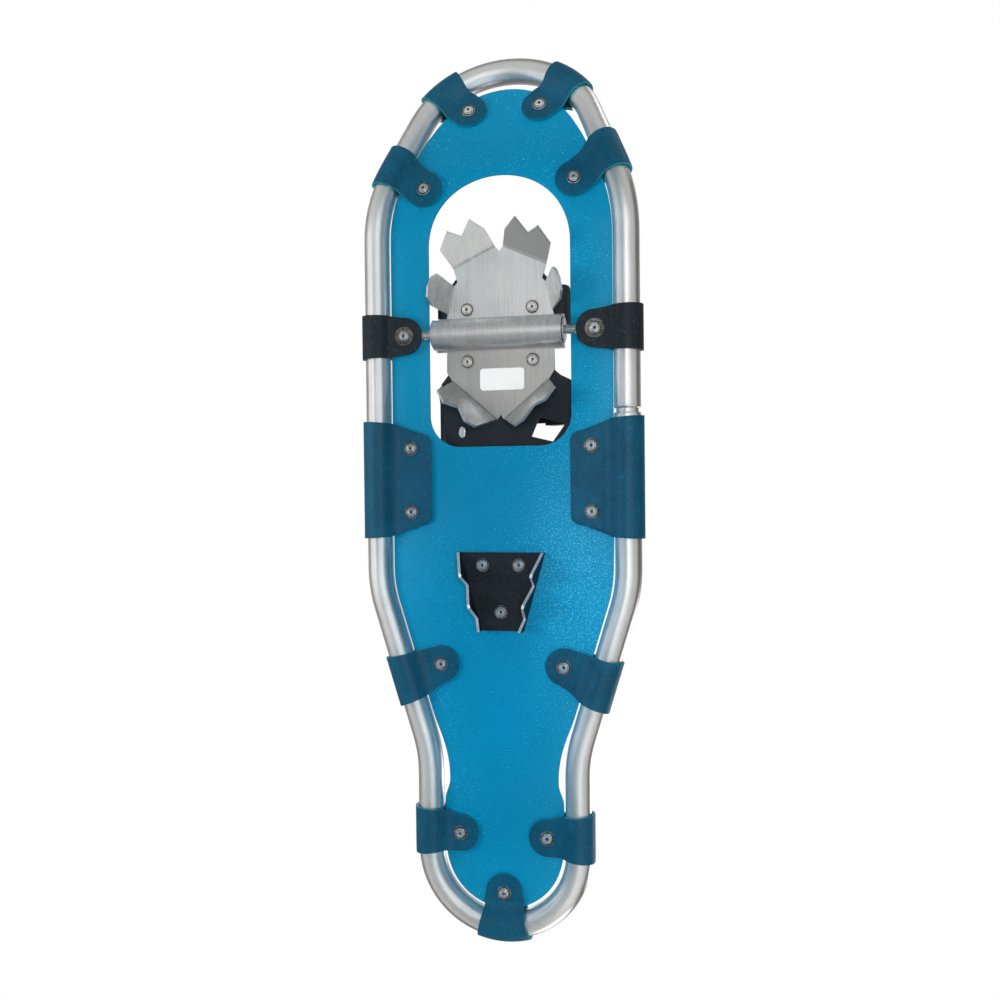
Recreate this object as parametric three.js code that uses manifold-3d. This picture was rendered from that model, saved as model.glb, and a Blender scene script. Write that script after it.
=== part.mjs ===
// A left snowshoe: tube frame, riveted deck, two crampons and a pivoting binding.
// Millimetres. +X is the wearer's left, -Y is forward (the toe), +Z is up. The crampon tips stand on z = 0.
import * as THREE from 'three';
import { mergeVertices } from 'three/addons/utils/BufferGeometryUtils.js';
import Module from 'manifold-3d';

const wasm = await Module();
wasm.setup();

// Frame tube, seen from above before the toe is bent up
const TUBE_R = 9.5;
const TUBE_WALL = 1.25;
const TUBE_SIDES = 12;
const HALF_WIDTH = 92.3;
const TOE_Y = -332.7;
const TOE_RADIUS = 68;
const TOE_CORNER_Y = -214;
const WAIST_TOP_Y = 64;
const WAIST_LOW_Y = 186;
const TAIL_Y = 310.5;
const TAIL_RADIUS = 55;
const TOE_BEND_RUN = 24;
const WAIST_BEND_RUN = 15;
const JOINT_Y = -64;
const PLUG_LENGTH = 22;
const NECK_GAP = 2.5;
const ARC_STEPS = 3;

// Upturned toe
const UPTURN_Y = -200;
const UPTURN_RADIUS = 130;
const UPTURN_ANGLE = THREE.MathUtils.degToRad(22.5);
const BEND_STEPS = 8;

// Sheet goods and the clearances between them
const DECK_T = 1.6;
const EDGE_GAP = 1.2;
const TOE_EDGE_GAP = 6.5;
const NOTCH_DEPTH = 3.8;
const TAIL_EDGE_GAP = 1.2;
const LEAF_T = 2;
const GAP = 0.4;
const RUN_FIT = 0.3;
const LEAF_RUN = 3;
const BEND_CHORD = 8;

// Straps: widths along the tube, and rivets as [along the tube, in from the tube's surface]
const LOBE_R = 13.5;
const SLEEVE_W = 36;
const SHOULDER_W = 38;
const HINGE_W = 30.5;
const WIDE_W = 84;
const WIDE_LEAF_HALF = 33.5;
const WIDE_LEAF_REACH = 31;
const WIDE_CORNER = 7;
const WAIST_W = 38;
const TAIL_END_W = 38;
const FLARE = 6;
const FLARE_RUN = 8.1;
const TOE_RIVET = [-1.6, 17.3];
const SHOULDER_RIVET = [7.3, 19.3];
const WIDE_RIVETS = [[-23, 16], [23.9, 16]];
const WAIST_RIVET = [-2.7, 18.6];
const TAIL_RIVET = [2, 13.1];
const TAIL_END_RIVET = [0, 14.5];

// Deck opening for the toe crampon
const OPENING_HALF = 52.5;
const OPENING_TOP_Y = -185;
const OPENING_END_Y = -39;
const OPENING_CORNER = 23;

// Rivets
const RIVET_R = 2;
const RIVET_WASHER_R = 5.3;
const RIVET_WASHER_T = 1;
const RIVET_HEAD_R = 3.1;
const RIVET_HEAD_T = 1.2;
const RIVET_SIDES = 8;

// Pivot axle
const AXLE_Y = -121;
const AXLE_R = 3;
const AXLE_EYE_T = 2.5;
const AXLE_EYE_W = 13;
const AXLE_EYE_INSET = 12.5;
const BUSH_LENGTH = 13;
const END_WASHER_T = 1;

// Toe crampon
const PLATE_T = 2;
const PLATE_Z = 2.4;
const HUMP_R = 11.2;
const HUMP_SIDE_GAP = 5;
const HUMP_SIDES = 16;
const FRONT_BEND = THREE.MathUtils.degToRad(52);
const SIDE_BEND = THREE.MathUtils.degToRad(62);
const REAR_BEND = THREE.MathUtils.degToRad(60);
const BINDING_RIVET_X = 24.3;
const BINDING_RIVET_GAPS = [1.9, 3.1];

// Heel crampon
const HEEL_FOLD = [[31.5, 38], [15.5, 95]];
const HEEL_TOOTH = 19.5;
const HEEL_VALLEY = 3.5;
const HEEL_RIVETS = [[-13.5, 47.3], [13.5, 47.3], [0, 81.2]];

// Binding
const BASE_T = 3;
const WEB_T = 2.2;
const TOE_WEB_W = 25;
const INSTEP_WEB_W = 25;
const HEEL_WEB_W = 24;
const TOE_WEB_Y = -141.5;
const INSTEP_WEB_Y = -73;

// Ratchet buckles on the straps, placed by their share of the strap's length
const BUCKLE_LENGTH = 24;
const BUCKLE_WALL = 1.6;
const BUCKLE_RISE = 8;
const PIN_R = 1.5;
const PIN_RISE = 5.2;
const LEVER_LENGTH = 27;
const TOE_BUCKLE_AT = 0.66;
const INSTEP_BUCKLE_AT = 0.68;

const LABEL_SIZE = [33, 16, 0.4];
const LABEL_AT = [1.4, -88];

const AXLE_EYE_X = HALF_WIDTH - TUBE_R - AXLE_EYE_INSET;
const HUMP_HALF = OPENING_HALF - HUMP_SIDE_GAP;
const RIVET_EDGE = HUMP_R + RIVET_WASHER_R;
const BINDING_RIVETS = [
  [BINDING_RIVET_X, AXLE_Y - RIVET_EDGE - BINDING_RIVET_GAPS[0]],
  [BINDING_RIVET_X, AXLE_Y + RIVET_EDGE + BINDING_RIVET_GAPS[1]],
];
const AXLE_Z = -(DECK_T / 2 + GAP + AXLE_R);
const LEAF_IN = DECK_T / 2 + GAP;
const BEND_END_Y = UPTURN_Y - UPTURN_RADIUS * UPTURN_ANGLE;
const SLEEVE_R = TUBE_R + GAP;
const WRAP_R = SLEEVE_R + LEAF_T;
const BASE_Z = PLATE_Z + PLATE_T + GAP;
const WEB_OFFSET = BASE_T / 2 + GAP + WEB_T / 2;

const METAL = { metalness: 0.9, roughness: 0.35 };
const LOOKS = {
  tube: { color: 0xc4c6c4, ...METAL },
  deck: { color: 0x007aa8, roughness: 0.6 },
  strap: { color: 0x00566b, roughness: 0.7 },
  black: { color: 0x16181b, roughness: 0.7 },
  steel: { color: 0xb8bcc0, ...METAL },
  label: { color: 0xf2f2ee, roughness: 0.6 },
};

// Details finer than this are dropped from a finished body
const SLIVER = 0.02;

const group = new THREE.Group();
group.name = 'snowshoe';

function add(name, body, look) {
  const mesh = new THREE.Mesh(toGeometry(body.simplify(SLIVER)), new THREE.MeshStandardMaterial(LOOKS[look]));
  mesh.name = name;
  group.add(mesh);
}

// ---- solids ----

function toSolid(geometry) {
  const bare = geometry.clone();
  bare.deleteAttribute('normal');
  bare.deleteAttribute('uv');
  const merged = mergeVertices(bare, 1e-4);
  return new wasm.Manifold(new wasm.Mesh({
    numProp: 3,
    vertProperties: Float32Array.from(merged.attributes.position.array),
    triVerts: Uint32Array.from(merged.index.array),
  }));
}

function toGeometry(body) {
  const mesh = body.getMesh();
  const geometry = new THREE.BufferGeometry();
  geometry.setAttribute('position', new THREE.BufferAttribute(mesh.vertProperties, 3));
  geometry.setIndex(new THREE.BufferAttribute(mesh.triVerts, 1));
  geometry.computeVertexNormals();
  return geometry;
}

function prism(shape, low, high, steps = 6) {
  const options = { depth: high - low, bevelEnabled: false, curveSegments: steps };
  return toSolid(new THREE.ExtrudeGeometry(shape, options).translate(0, 0, low));
}

function polygon(points) {
  return new THREE.Shape(points.map(([x, y]) => new THREE.Vector2(x, y)));
}

function turned(profile, sides) {
  return new THREE.LatheGeometry(profile.map(([r, h]) => new THREE.Vector2(r, h)), sides)
    .rotateX(Math.PI / 2);
}

function pin(radius, low, high, sides = RIVET_SIDES) {
  return turned([[0, low], [radius, low], [radius, high], [0, high]], sides);
}

// A section swept along listed points: shape x follows normals, shape y follows binormals
function swept(shape, points, normals, binormals) {
  const path = new THREE.Curve();
  path.getSpacedPoints = () => points;
  path.computeFrenetFrames = () => ({ normals, binormals });
  return new THREE.ExtrudeGeometry(shape, {
    extrudePath: path, steps: points.length - 1, curveSegments: TUBE_SIDES / 2,
  });
}

// ---- the toe bend: everything on the frame is drawn flat, then bent ----

function bendPoint(point) {
  const ahead = UPTURN_Y - point.y;
  if (ahead <= 0) return point;
  const angle = Math.min(ahead / UPTURN_RADIUS, UPTURN_ANGLE);
  const beyond = Math.max(0, ahead - UPTURN_RADIUS * UPTURN_ANGLE);
  const radius = UPTURN_RADIUS - point.z;
  point.y = UPTURN_Y - radius * Math.sin(angle) - beyond * Math.cos(angle);
  point.z = UPTURN_RADIUS - radius * Math.cos(angle) + beyond * Math.sin(angle);
  return point;
}

function bent(geometry) {
  const position = geometry.attributes.position;
  const point = new THREE.Vector3();
  for (let i = 0; i < position.count; i += 1) {
    bendPoint(point.fromBufferAttribute(position, i));
    position.setXYZ(i, point.x, point.y, point.z);
  }
  return geometry;
}

function bentSolid(body) {
  return toSolid(bent(toGeometry(body)));
}

function stoodAt(geometry, x, y) {
  return toSolid(bent(geometry.translate(x, y, 0)));
}

// ---- frame centreline ----

function rightSide() {
  const path = new THREE.Path();
  const centreY = TOE_Y + TOE_RADIUS;
  const reach = Math.hypot(HALF_WIDTH, TOE_CORNER_Y - centreY);
  const tangentAngle = Math.atan2(TOE_CORNER_Y - centreY, HALF_WIDTH) - Math.acos(TOE_RADIUS / reach);
  path.absarc(0, centreY, TOE_RADIUS, -Math.PI / 2, tangentAngle, false);
  const slant = new THREE.Vector2(-Math.sin(tangentAngle), Math.cos(tangentAngle));
  const corner = new THREE.Vector2(HALF_WIDTH, TOE_CORNER_Y);
  const toBendEnd = corner.clone().addScaledVector(slant, (BEND_END_Y - corner.y) / slant.y);
  const before = corner.clone().addScaledVector(slant, -TOE_BEND_RUN);
  path.lineTo(toBendEnd.x, toBendEnd.y);
  path.lineTo(before.x, before.y);
  path.quadraticCurveTo(corner.x, corner.y, HALF_WIDTH, corner.y + TOE_BEND_RUN);
  path.lineTo(HALF_WIDTH, JOINT_Y);
  path.lineTo(HALF_WIDTH, WAIST_TOP_Y - WAIST_BEND_RUN);
  const waist = new THREE.Vector2(TAIL_RADIUS - HALF_WIDTH, WAIST_LOW_Y - WAIST_TOP_Y).normalize();
  const upper = new THREE.Vector2(HALF_WIDTH, WAIST_TOP_Y).addScaledVector(waist, WAIST_BEND_RUN);
  const lower = new THREE.Vector2(TAIL_RADIUS, WAIST_LOW_Y).addScaledVector(waist, -WAIST_BEND_RUN);
  path.quadraticCurveTo(HALF_WIDTH, WAIST_TOP_Y, upper.x, upper.y);
  path.lineTo(lower.x, lower.y);
  path.quadraticCurveTo(TAIL_RADIUS, WAIST_LOW_Y, TAIL_RADIUS, WAIST_LOW_Y + WAIST_BEND_RUN);
  path.lineTo(TAIL_RADIUS, TAIL_Y - TAIL_RADIUS);
  path.absarc(0, TAIL_Y - TAIL_RADIUS, TAIL_RADIUS, 0, Math.PI / 2, false);
  return path;
}

function loopFromJoint(path) {
  const right = path.getPoints(ARC_STEPS);
  const left = right.slice(1, -1).reverse().map((p) => new THREE.Vector2(-p.x, p.y));
  const joint = right.findIndex((p) => p.y > JOINT_Y - 1);
  return [...right.slice(joint), ...left, ...right.slice(0, joint + 1)]
    .map((p) => new THREE.Vector3(p.x, p.y, 0));
}

// Inward directions at each point of a flat polyline that runs tailwards on the right side
function inwardAt(points) {
  return points.map((point, i) => {
    const from = points[Math.max(0, i - 1)];
    const to = points[Math.min(points.length - 1, i + 1)];
    const along = to.clone().sub(from).normalize();
    return new THREE.Vector3(-along.y, along.x, 0);
  });
}

function tubeRing(outer, inner) {
  const ring = new THREE.Shape().absarc(0, 0, outer, 0, 2 * Math.PI, false);
  ring.holes.push(new THREE.Path().absarc(0, 0, inner, 0, 2 * Math.PI, true));
  return ring;
}

const SIDE = rightSide();
const LOOP = loopFromJoint(SIDE);
const UPWARD = new THREE.Vector3(0, 0, 1);

// Centreline point on the wearer's left at a given distance along Y
function sideAt(y) {
  const points = SIDE.getPoints(ARC_STEPS);
  const i = Math.max(1, points.findIndex((p) => p.y >= y));
  const share = (y - points[i - 1].y) / (points[i].y - points[i - 1].y);
  const at = points[i - 1].clone().lerp(points[i], share);
  return new THREE.Vector3(at.x, at.y, 0);
}

function frameTube() {
  const bore = TUBE_R - TUBE_WALL;
  const normals = inwardAt(LOOP);
  const binormals = LOOP.map(() => UPWARD);
  const open = LOOP.map((p) => p.clone());
  open[0].y += NECK_GAP;
  const tube = swept(tubeRing(TUBE_R, bore), open, normals, binormals);
  const plugR = bore - RUN_FIT;
  const plugBore = plugR - TUBE_WALL;
  const rootR = (TUBE_R + bore) / 2;
  const plug = turned([
    [plugBore, -1.5], [rootR, -1.5], [rootR, 0.4], [plugR, NECK_GAP - RUN_FIT],
    [plugR, PLUG_LENGTH], [plugBore, PLUG_LENGTH], [plugBore, -1.5],
  ], TUBE_SIDES).rotateX(-Math.PI / 2).translate(HALF_WIDTH, JOINT_Y, 0);
  return toSolid(bent(tube)).add(toSolid(plug));
}

// ---- straps that wrap the tube and clamp the deck ----

// The stretch of the centreline loop within a half width either side of an anchor point
function stretch(anchor, half) {
  const closed = LOOP.slice(0, -1);
  const lengths = [0];
  closed.forEach((p, i) => {
    lengths.push(lengths[i] + p.distanceTo(closed[(i + 1) % closed.length]));
  });
  const total = lengths[closed.length];
  let best = { distance: Infinity };
  closed.forEach((p, i) => {
    const next = closed[(i + 1) % closed.length];
    const foot = new THREE.Line3(p, next).closestPointToPoint(anchor, true, new THREE.Vector3());
    const distance = foot.distanceTo(anchor);
    if (distance < best.distance) best = { distance, foot, at: lengths[i] + foot.distanceTo(p) };
  });
  const pointAt = (s) => {
    const wrapped = (s + total) % total;
    const i = Math.max(0, lengths.findIndex((l) => l > wrapped) - 1);
    const share = (wrapped - lengths[i]) / (lengths[i + 1] - lengths[i]);
    return closed[i].clone().lerp(closed[(i + 1) % closed.length], share);
  };
  const stops = [best.at - half, best.at + half];
  for (let turn = -1; turn <= 1; turn += 1) {
    lengths.slice(0, -1).forEach((l) => stops.push(l + turn * total));
  }
  const inside = stops.filter((s) => s >= best.at - half && s <= best.at + half);
  inside.sort((a, b) => a - b);
  const spaced = inside.filter((s, i) => i === 0 || s - inside[i - 1] > 0.5);
  const points = spaced.map(pointAt);
  const normals = inwardAt(points);
  const inward = new THREE.Vector3();
  normals.forEach((n) => inward.add(n));
  inward.normalize();
  const along = new THREE.Vector3().crossVectors(inward, UPWARD);
  return { points, normals, foot: best.foot, inward, along };
}

// Fixes a strap's anchor on the centreline, and its rivets by their distances from the tube
function placed(strap) {
  const { foot, inward, along } = stretch(sideAt(strap.y), strap.width / 2);
  const rivets = strap.rivets.map(([run, inset]) => {
    const at = foot.clone().addScaledVector(along, run).addScaledVector(inward, TUBE_R + inset);
    return [at.x, at.y];
  });
  return { ...strap, anchor: [foot.x, foot.y], rivets };
}

// Tube-hugging section of a strap, open towards the deck. The slot that takes the deck reaches
// above and below its mid-plane by the given heights.
function strapSection(reach, above, below) {
  const outline = [[reach, above]];
  const slotX = Math.sqrt(SLEEVE_R ** 2 - above ** 2);
  outline.push([slotX, above]);
  for (let i = 1; i < TUBE_SIDES; i += 1) {
    const angle = (2 * Math.PI * i) / TUBE_SIDES;
    outline.push([SLEEVE_R * Math.cos(angle), SLEEVE_R * Math.sin(angle)]);
  }
  outline.push([slotX, -below]);
  outline.push([reach, -below]);
  outline.push([reach, -below - LEAF_T]);
  outline.push([WRAP_R + LEAF_RUN, -below - LEAF_T]);
  const wrapStart = THREE.MathUtils.degToRad(50);
  const wrapSteps = 7;
  for (let i = 0; i <= wrapSteps; i += 1) {
    const angle = -wrapStart - ((2 * Math.PI - 2 * wrapStart) * i) / wrapSteps;
    outline.push([WRAP_R * Math.cos(angle), WRAP_R * Math.sin(angle)]);
  }
  outline.push([WRAP_R + LEAF_RUN, above + LEAF_T]);
  outline.push([reach, above + LEAF_T]);
  return polygon(outline);
}

// Plan outline of a one-rivet strap: sleeve width at the tube, round lobe about the rivet
function lobeOutline(half, rivetAlong, rivetIn) {
  const shape = new THREE.Shape();
  shape.moveTo(-half - FLARE, -WRAP_R - FLARE_RUN);
  shape.lineTo(half + FLARE, -WRAP_R - FLARE_RUN);
  shape.lineTo(half, TUBE_R);
  shape.absarc(rivetAlong, rivetIn, LOBE_R, 0, Math.PI, false);
  shape.lineTo(-half, TUBE_R);
  return shape;
}

function wideOutline(half, innerHalf, reach) {
  const corner = WIDE_CORNER;
  const shape = new THREE.Shape();
  shape.moveTo(-half - FLARE, -WRAP_R - FLARE_RUN);
  shape.lineTo(half + FLARE, -WRAP_R - FLARE_RUN);
  shape.lineTo(half, TUBE_R);
  shape.lineTo(innerHalf, reach - corner);
  shape.absarc(innerHalf - corner, reach - corner, corner, 0, Math.PI / 2, false);
  shape.absarc(corner - innerHalf, reach - corner, corner, Math.PI / 2, Math.PI, false);
  shape.lineTo(-half, TUBE_R);
  return shape;
}

function strapBody({ anchor, width, rivets, above, below, wideReach = 0, wideHalf = 0 }) {
  const { points, normals, foot, inward, along } = stretch(
    new THREE.Vector3(anchor[0], anchor[1], 0), width / 2,
  );
  const first = new THREE.Vector3(rivets[0][0], rivets[0][1], 0).sub(foot);
  const reach = wideReach || first.dot(inward) + LOBE_R + 1;
  const outline = wideReach
    ? wideOutline(width / 2, wideHalf, wideReach)
    : lobeOutline(width / 2, first.dot(along), first.dot(inward));
  const section = strapSection(reach + 1, above, below);
  const sleeve = toSolid(swept(section, points, normals, points.map(() => UPWARD)));
  const frame = new THREE.Matrix4().makeBasis(along, inward, UPWARD)
    .setPosition(foot);
  const tall = WRAP_R + FLARE_RUN;
  const cutter = new THREE.ExtrudeGeometry(outline, { depth: 2 * tall, bevelEnabled: false, curveSegments: 5 })
    .translate(0, 0, -tall).applyMatrix4(frame);
  let body = sleeve.intersect(toSolid(cutter));
  rivets.forEach(([x, y]) => {
    body = body.subtract(toSolid(pin(RIVET_R + RUN_FIT, -tall, tall).translate(x, y, 0)));
  });
  const { min, max } = body.boundingBox();
  const crossesBend = min[1] < UPTURN_Y && max[1] > BEND_END_Y;
  return bentSolid(crossesBend ? body.refineToLength(BEND_CHORD) : body);
}

function mirrored(list) {
  return list.map(([x, y]) => [-x, y]);
}

const SLOT = { above: LEAF_IN, below: LEAF_IN };
const BEND_SLOT = { above: LEAF_IN + RUN_FIT, below: LEAF_IN + RUN_FIT };
const EYE_SLOT = { above: LEAF_IN, below: LEAF_IN + AXLE_EYE_T + GAP, look: 'black', lowWasherR: 6.9 };
const SIDE_STRAPS = [
  { name: 'toe_strap', y: TOE_Y + 18.5, width: SLEEVE_W, rivets: [TOE_RIVET], ...SLOT },
  { name: 'shoulder_strap', y: TOE_CORNER_Y - 32, width: SHOULDER_W, rivets: [SHOULDER_RIVET], ...BEND_SLOT },
  { name: 'hinge_strap', y: AXLE_Y, width: HINGE_W, rivets: [[0, AXLE_EYE_INSET]], ...EYE_SLOT },
  {
    name: 'wide_strap', y: OPENING_END_Y + 23.5, width: WIDE_W, rivets: WIDE_RIVETS,
    wideReach: TUBE_R + WIDE_LEAF_REACH, wideHalf: WIDE_LEAF_HALF, ...SLOT,
  },
  { name: 'waist_strap', y: WAIST_TOP_Y + 67.1, width: WAIST_W, rivets: [WAIST_RIVET], ...SLOT },
  { name: 'tail_strap', y: TAIL_Y - 68, width: SLEEVE_W, rivets: [TAIL_RIVET], ...SLOT },
].map(placed);
const TAIL_END_STRAP = placed({ y: TAIL_Y, width: TAIL_END_W, rivets: [TAIL_END_RIVET], ...SLOT });

function rivetBody(low, high, lowWasherR = RIVET_WASHER_R) {
  const washer = RIVET_WASHER_T;
  const head = washer + RIVET_HEAD_T;
  return turned([
    [0, low - head], [RIVET_HEAD_R * 0.8, low - head], [RIVET_HEAD_R, low - washer],
    [lowWasherR, low - washer], [lowWasherR, low], [RIVET_R, low],
    [RIVET_R, high], [RIVET_WASHER_R, high], [RIVET_WASHER_R, high + washer],
    [RIVET_HEAD_R, high + washer], [RIVET_HEAD_R, high + head], [0, high + head],
  ], RIVET_SIDES);
}

function strapRivet({ above, below, lowWasherR }, x, y) {
  const reach = LEAF_T + GAP;
  return stoodAt(rivetBody(-below - reach, above + reach, lowWasherR), x, y);
}

function addStraps() {
  SIDE_STRAPS.forEach((strap) => {
    [['left', 1], ['right', -1]].forEach(([side, sign]) => {
      const rivets = sign > 0 ? strap.rivets : mirrored(strap.rivets);
      const anchor = [sign * strap.anchor[0], strap.anchor[1]];
      add(`${strap.name}_${side}`, strapBody({ ...strap, anchor, rivets }), strap.look || 'strap');
      rivets.forEach(([x, y], i) => {
        const suffix = rivets.length > 1 ? `_${i + 1}` : '';
        add(`${strap.name}_rivet${suffix}_${side}`, strapRivet(strap, x, y), 'steel');
      });
    });
  });
  add('tail_end_strap', strapBody(TAIL_END_STRAP), 'strap');
  add('tail_end_strap_rivet', strapRivet(TAIL_END_STRAP, ...TAIL_END_STRAP.rivets[0]), 'steel');
}

// ---- deck ----

// Gap between the tube and the deck edge: wide at the toe, a notch at the waist
function edgeGap(y) {
  const ease = THREE.MathUtils.smoothstep;
  const past = y - WAIST_LOW_Y;
  const notch = past < 20 ? ease(past, -28, 18) : 1 - ease(past, 20, 35);
  return EDGE_GAP + TOE_EDGE_GAP * ease(TOE_Y - y, -70.7, -14.7) + NOTCH_DEPTH * notch
    + TAIL_EDGE_GAP * ease(y - TAIL_Y, -75.5, -35.5);
}

function inPlan(x, y) {
  const point = bendPoint(new THREE.Vector3(x, y, 0));
  return [point.x, point.y];
}

function deckOutline() {
  const steps = 54;
  const right = [];
  for (let i = 0; i <= steps; i += 1) {
    const at = SIDE.getPointAt(i / steps);
    const along = SIDE.getTangentAt(i / steps);
    const inset = TUBE_R + edgeGap(at.y);
    right.push([at.x - along.y * inset, at.y + along.x * inset]);
  }
  const left = right.slice(1, -1).reverse().map(([x, y]) => [-x, y]);
  return polygon([...right, ...left].map(([x, y]) => inPlan(x, y)));
}

function openingOutline() {
  const corner = OPENING_CORNER;
  const shape = new THREE.Shape();
  shape.absarc(0, OPENING_TOP_Y, OPENING_HALF, Math.PI, 2 * Math.PI, false);
  shape.absarc(OPENING_HALF - corner, OPENING_END_Y - corner, corner, 0, Math.PI / 2, false);
  shape.absarc(corner - OPENING_HALF, OPENING_END_Y - corner, corner, Math.PI / 2, Math.PI, false);
  return polygon(shape.getPoints(10).map((p) => inPlan(p.x, p.y)));
}

function deckRivets() {
  const side = SIDE_STRAPS.flatMap((strap) => strap.rivets);
  return [...side, ...mirrored(side), ...TAIL_END_STRAP.rivets, ...HEEL_RIVETS];
}

function deckBody() {
  const stations = [TAIL_Y];
  for (let i = 0; i <= BEND_STEPS; i += 1) {
    stations.push(UPTURN_Y - (UPTURN_RADIUS * UPTURN_ANGLE * i) / BEND_STEPS);
  }
  stations.push(TOE_Y);
  const edge = (z) => stations.map((y) => bendPoint(new THREE.Vector3(0, y, z)));
  const outline = [...edge(DECK_T / 2), ...edge(-DECK_T / 2).reverse()];
  const profile = polygon(outline.map((p) => [p.y, p.z]));
  const slab = new THREE.ExtrudeGeometry(profile, { depth: 2 * HALF_WIDTH, bevelEnabled: false })
    .translate(0, 0, -HALF_WIDTH);
  slab.applyMatrix4(new THREE.Matrix4().makeBasis(
    new THREE.Vector3(0, 1, 0), new THREE.Vector3(0, 0, 1), new THREE.Vector3(1, 0, 0),
  ));
  let deck = toSolid(slab).intersect(prism(deckOutline(), -30, 90));
  deck = deck.subtract(prism(openingOutline(), -30, 90));
  deckRivets().forEach(([x, y]) => {
    deck = deck.subtract(stoodAt(pin(RIVET_R + RUN_FIT, -6, 6), x, y));
  });
  return deck;
}

// ---- folded plates ----

// A toothed flange folded down from a plate along the line from start to end, at a plate height
function flange(start, end, bend, teeth, outward, height) {
  const along = new THREE.Vector3(end[0] - start[0], end[1] - start[1], 0).normalize();
  const flat = new THREE.Vector3(-along.y, along.x, 0).multiplyScalar(outward);
  const down = flat.multiplyScalar(Math.cos(bend)).addScaledVector(UPWARD, -Math.sin(bend));
  const normal = new THREE.Vector3().crossVectors(along, down);
  const sheet = new THREE.ExtrudeGeometry(polygon(teeth), { depth: PLATE_T, bevelEnabled: false })
    .translate(0, 0, -PLATE_T / 2);
  const frame = new THREE.Matrix4().makeBasis(along, down, normal)
    .setPosition(start[0], start[1], height);
  return toSolid(sheet.applyMatrix4(frame));
}

function bothSides(body) {
  return body.add(body.mirror([1, 0, 0]));
}

function toeCrampon() {
  const top = PLATE_Z + PLATE_T;
  const inner = HUMP_R - PLATE_T;
  const profile = new THREE.Shape();
  profile.moveTo(-190, PLATE_Z);
  profile.lineTo(AXLE_Y - HUMP_R, PLATE_Z);
  profile.absarc(AXLE_Y, AXLE_Z, HUMP_R, Math.PI, 2 * Math.PI, false);
  profile.lineTo(AXLE_Y + HUMP_R, PLATE_Z);
  profile.lineTo(-50, PLATE_Z);
  profile.lineTo(-50, top);
  profile.lineTo(AXLE_Y + inner, top);
  profile.absarc(AXLE_Y, AXLE_Z, inner, 0, -Math.PI, true);
  profile.lineTo(AXLE_Y - inner, top);
  profile.lineTo(-190, top);
  const width = 2 * HUMP_HALF;
  const bar = new THREE.ExtrudeGeometry(profile, { depth: width, bevelEnabled: false, curveSegments: HUMP_SIDES })
    .translate(0, 0, -HUMP_HALF);
  bar.applyMatrix4(new THREE.Matrix4().makeBasis(
    new THREE.Vector3(0, 1, 0), new THREE.Vector3(0, 0, 1), new THREE.Vector3(1, 0, 0),
  ));
  const humpFront = AXLE_Y - HUMP_R - 1;
  const humpBack = AXLE_Y + HUMP_R + 1;
  const frontFold = [[3, -184.5], [34.5, -170]];
  const sideFold = [[34.4, -156.6], [39.2, -136.5]];
  const rearFold = [[2.5, -58.5], [36, -87.5]];
  const half = [
    [0, -181], frontFold[0], frontFold[1], [31.5, -160], sideFold[0], sideFold[1], [40, humpFront],
    [HUMP_HALF, humpFront], [HUMP_HALF, humpBack], [40, humpBack], [40.2, -94], rearFold[1],
    rearFold[0], [0, -62],
  ];
  const left = half.slice(1, -1).reverse().map(([x, y]) => [-x, y]);
  let plate = toSolid(bar).intersect(prism(polygon([...half, ...left]), -30, 30));
  const height = PLATE_Z + PLATE_T / 2;
  const frontTeeth = [[0, -1], [0, 17], [6, 30.5], [17, 21], [24, 30.5], [35.5, 19.5], [34.6, -1]];
  const sideTeeth = [[0, -1], [-5, 20], [-1.5, 24.5], [5.5, 26.5], [13.5, 25], [18, 18.5], [20.6, -1]];
  const rearTeeth = [[0.5, -1], [2.5, 12], [5, 24], [13, 27.5], [24.5, 20], [34, 27.5], [44.5, 21], [43.8, -1]];
  plate = plate.add(bothSides(flange(...frontFold, FRONT_BEND, frontTeeth, -1, height)));
  plate = plate.add(bothSides(flange(...sideFold, SIDE_BEND, sideTeeth, -1, height)));
  plate = plate.add(bothSides(flange(...rearFold, REAR_BEND, rearTeeth, 1, height)));
  BINDING_RIVETS.forEach(([x, y]) => {
    plate = plate.subtract(bothSides(toSolid(pin(RIVET_R + RUN_FIT, -8, 20).translate(x, y, 0))));
  });
  return plate;
}

function heelCrampon() {
  const topZ = -DECK_T / 2 - GAP;
  const [upper, lower] = HEEL_FOLD;
  const outline = [upper, lower, [-lower[0], lower[1]], [-upper[0], upper[1]]];
  let plate = prism(polygon(outline), topZ - PLATE_T, topZ);
  const length = Math.hypot(lower[0] - upper[0], lower[1] - upper[1]);
  const teeth = [
    [0, -1], [0, HEEL_VALLEY], [15, HEEL_TOOTH], [17.5, HEEL_TOOTH], [25, HEEL_VALLEY],
    [38, HEEL_TOOTH], [40.5, HEEL_TOOTH], [50, HEEL_VALLEY], [length, HEEL_TOOTH * 0.55], [length, -1],
  ];
  const bend = THREE.MathUtils.degToRad(86);
  plate = plate.add(bothSides(flange(upper, lower, bend, teeth, 1, topZ - PLATE_T / 2)));
  HEEL_RIVETS.forEach(([x, y]) => {
    plate = plate.subtract(toSolid(pin(RIVET_R + RUN_FIT, -10, 10).translate(x, y, 0)));
  });
  return plate;
}

// ---- pivot ----

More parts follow.
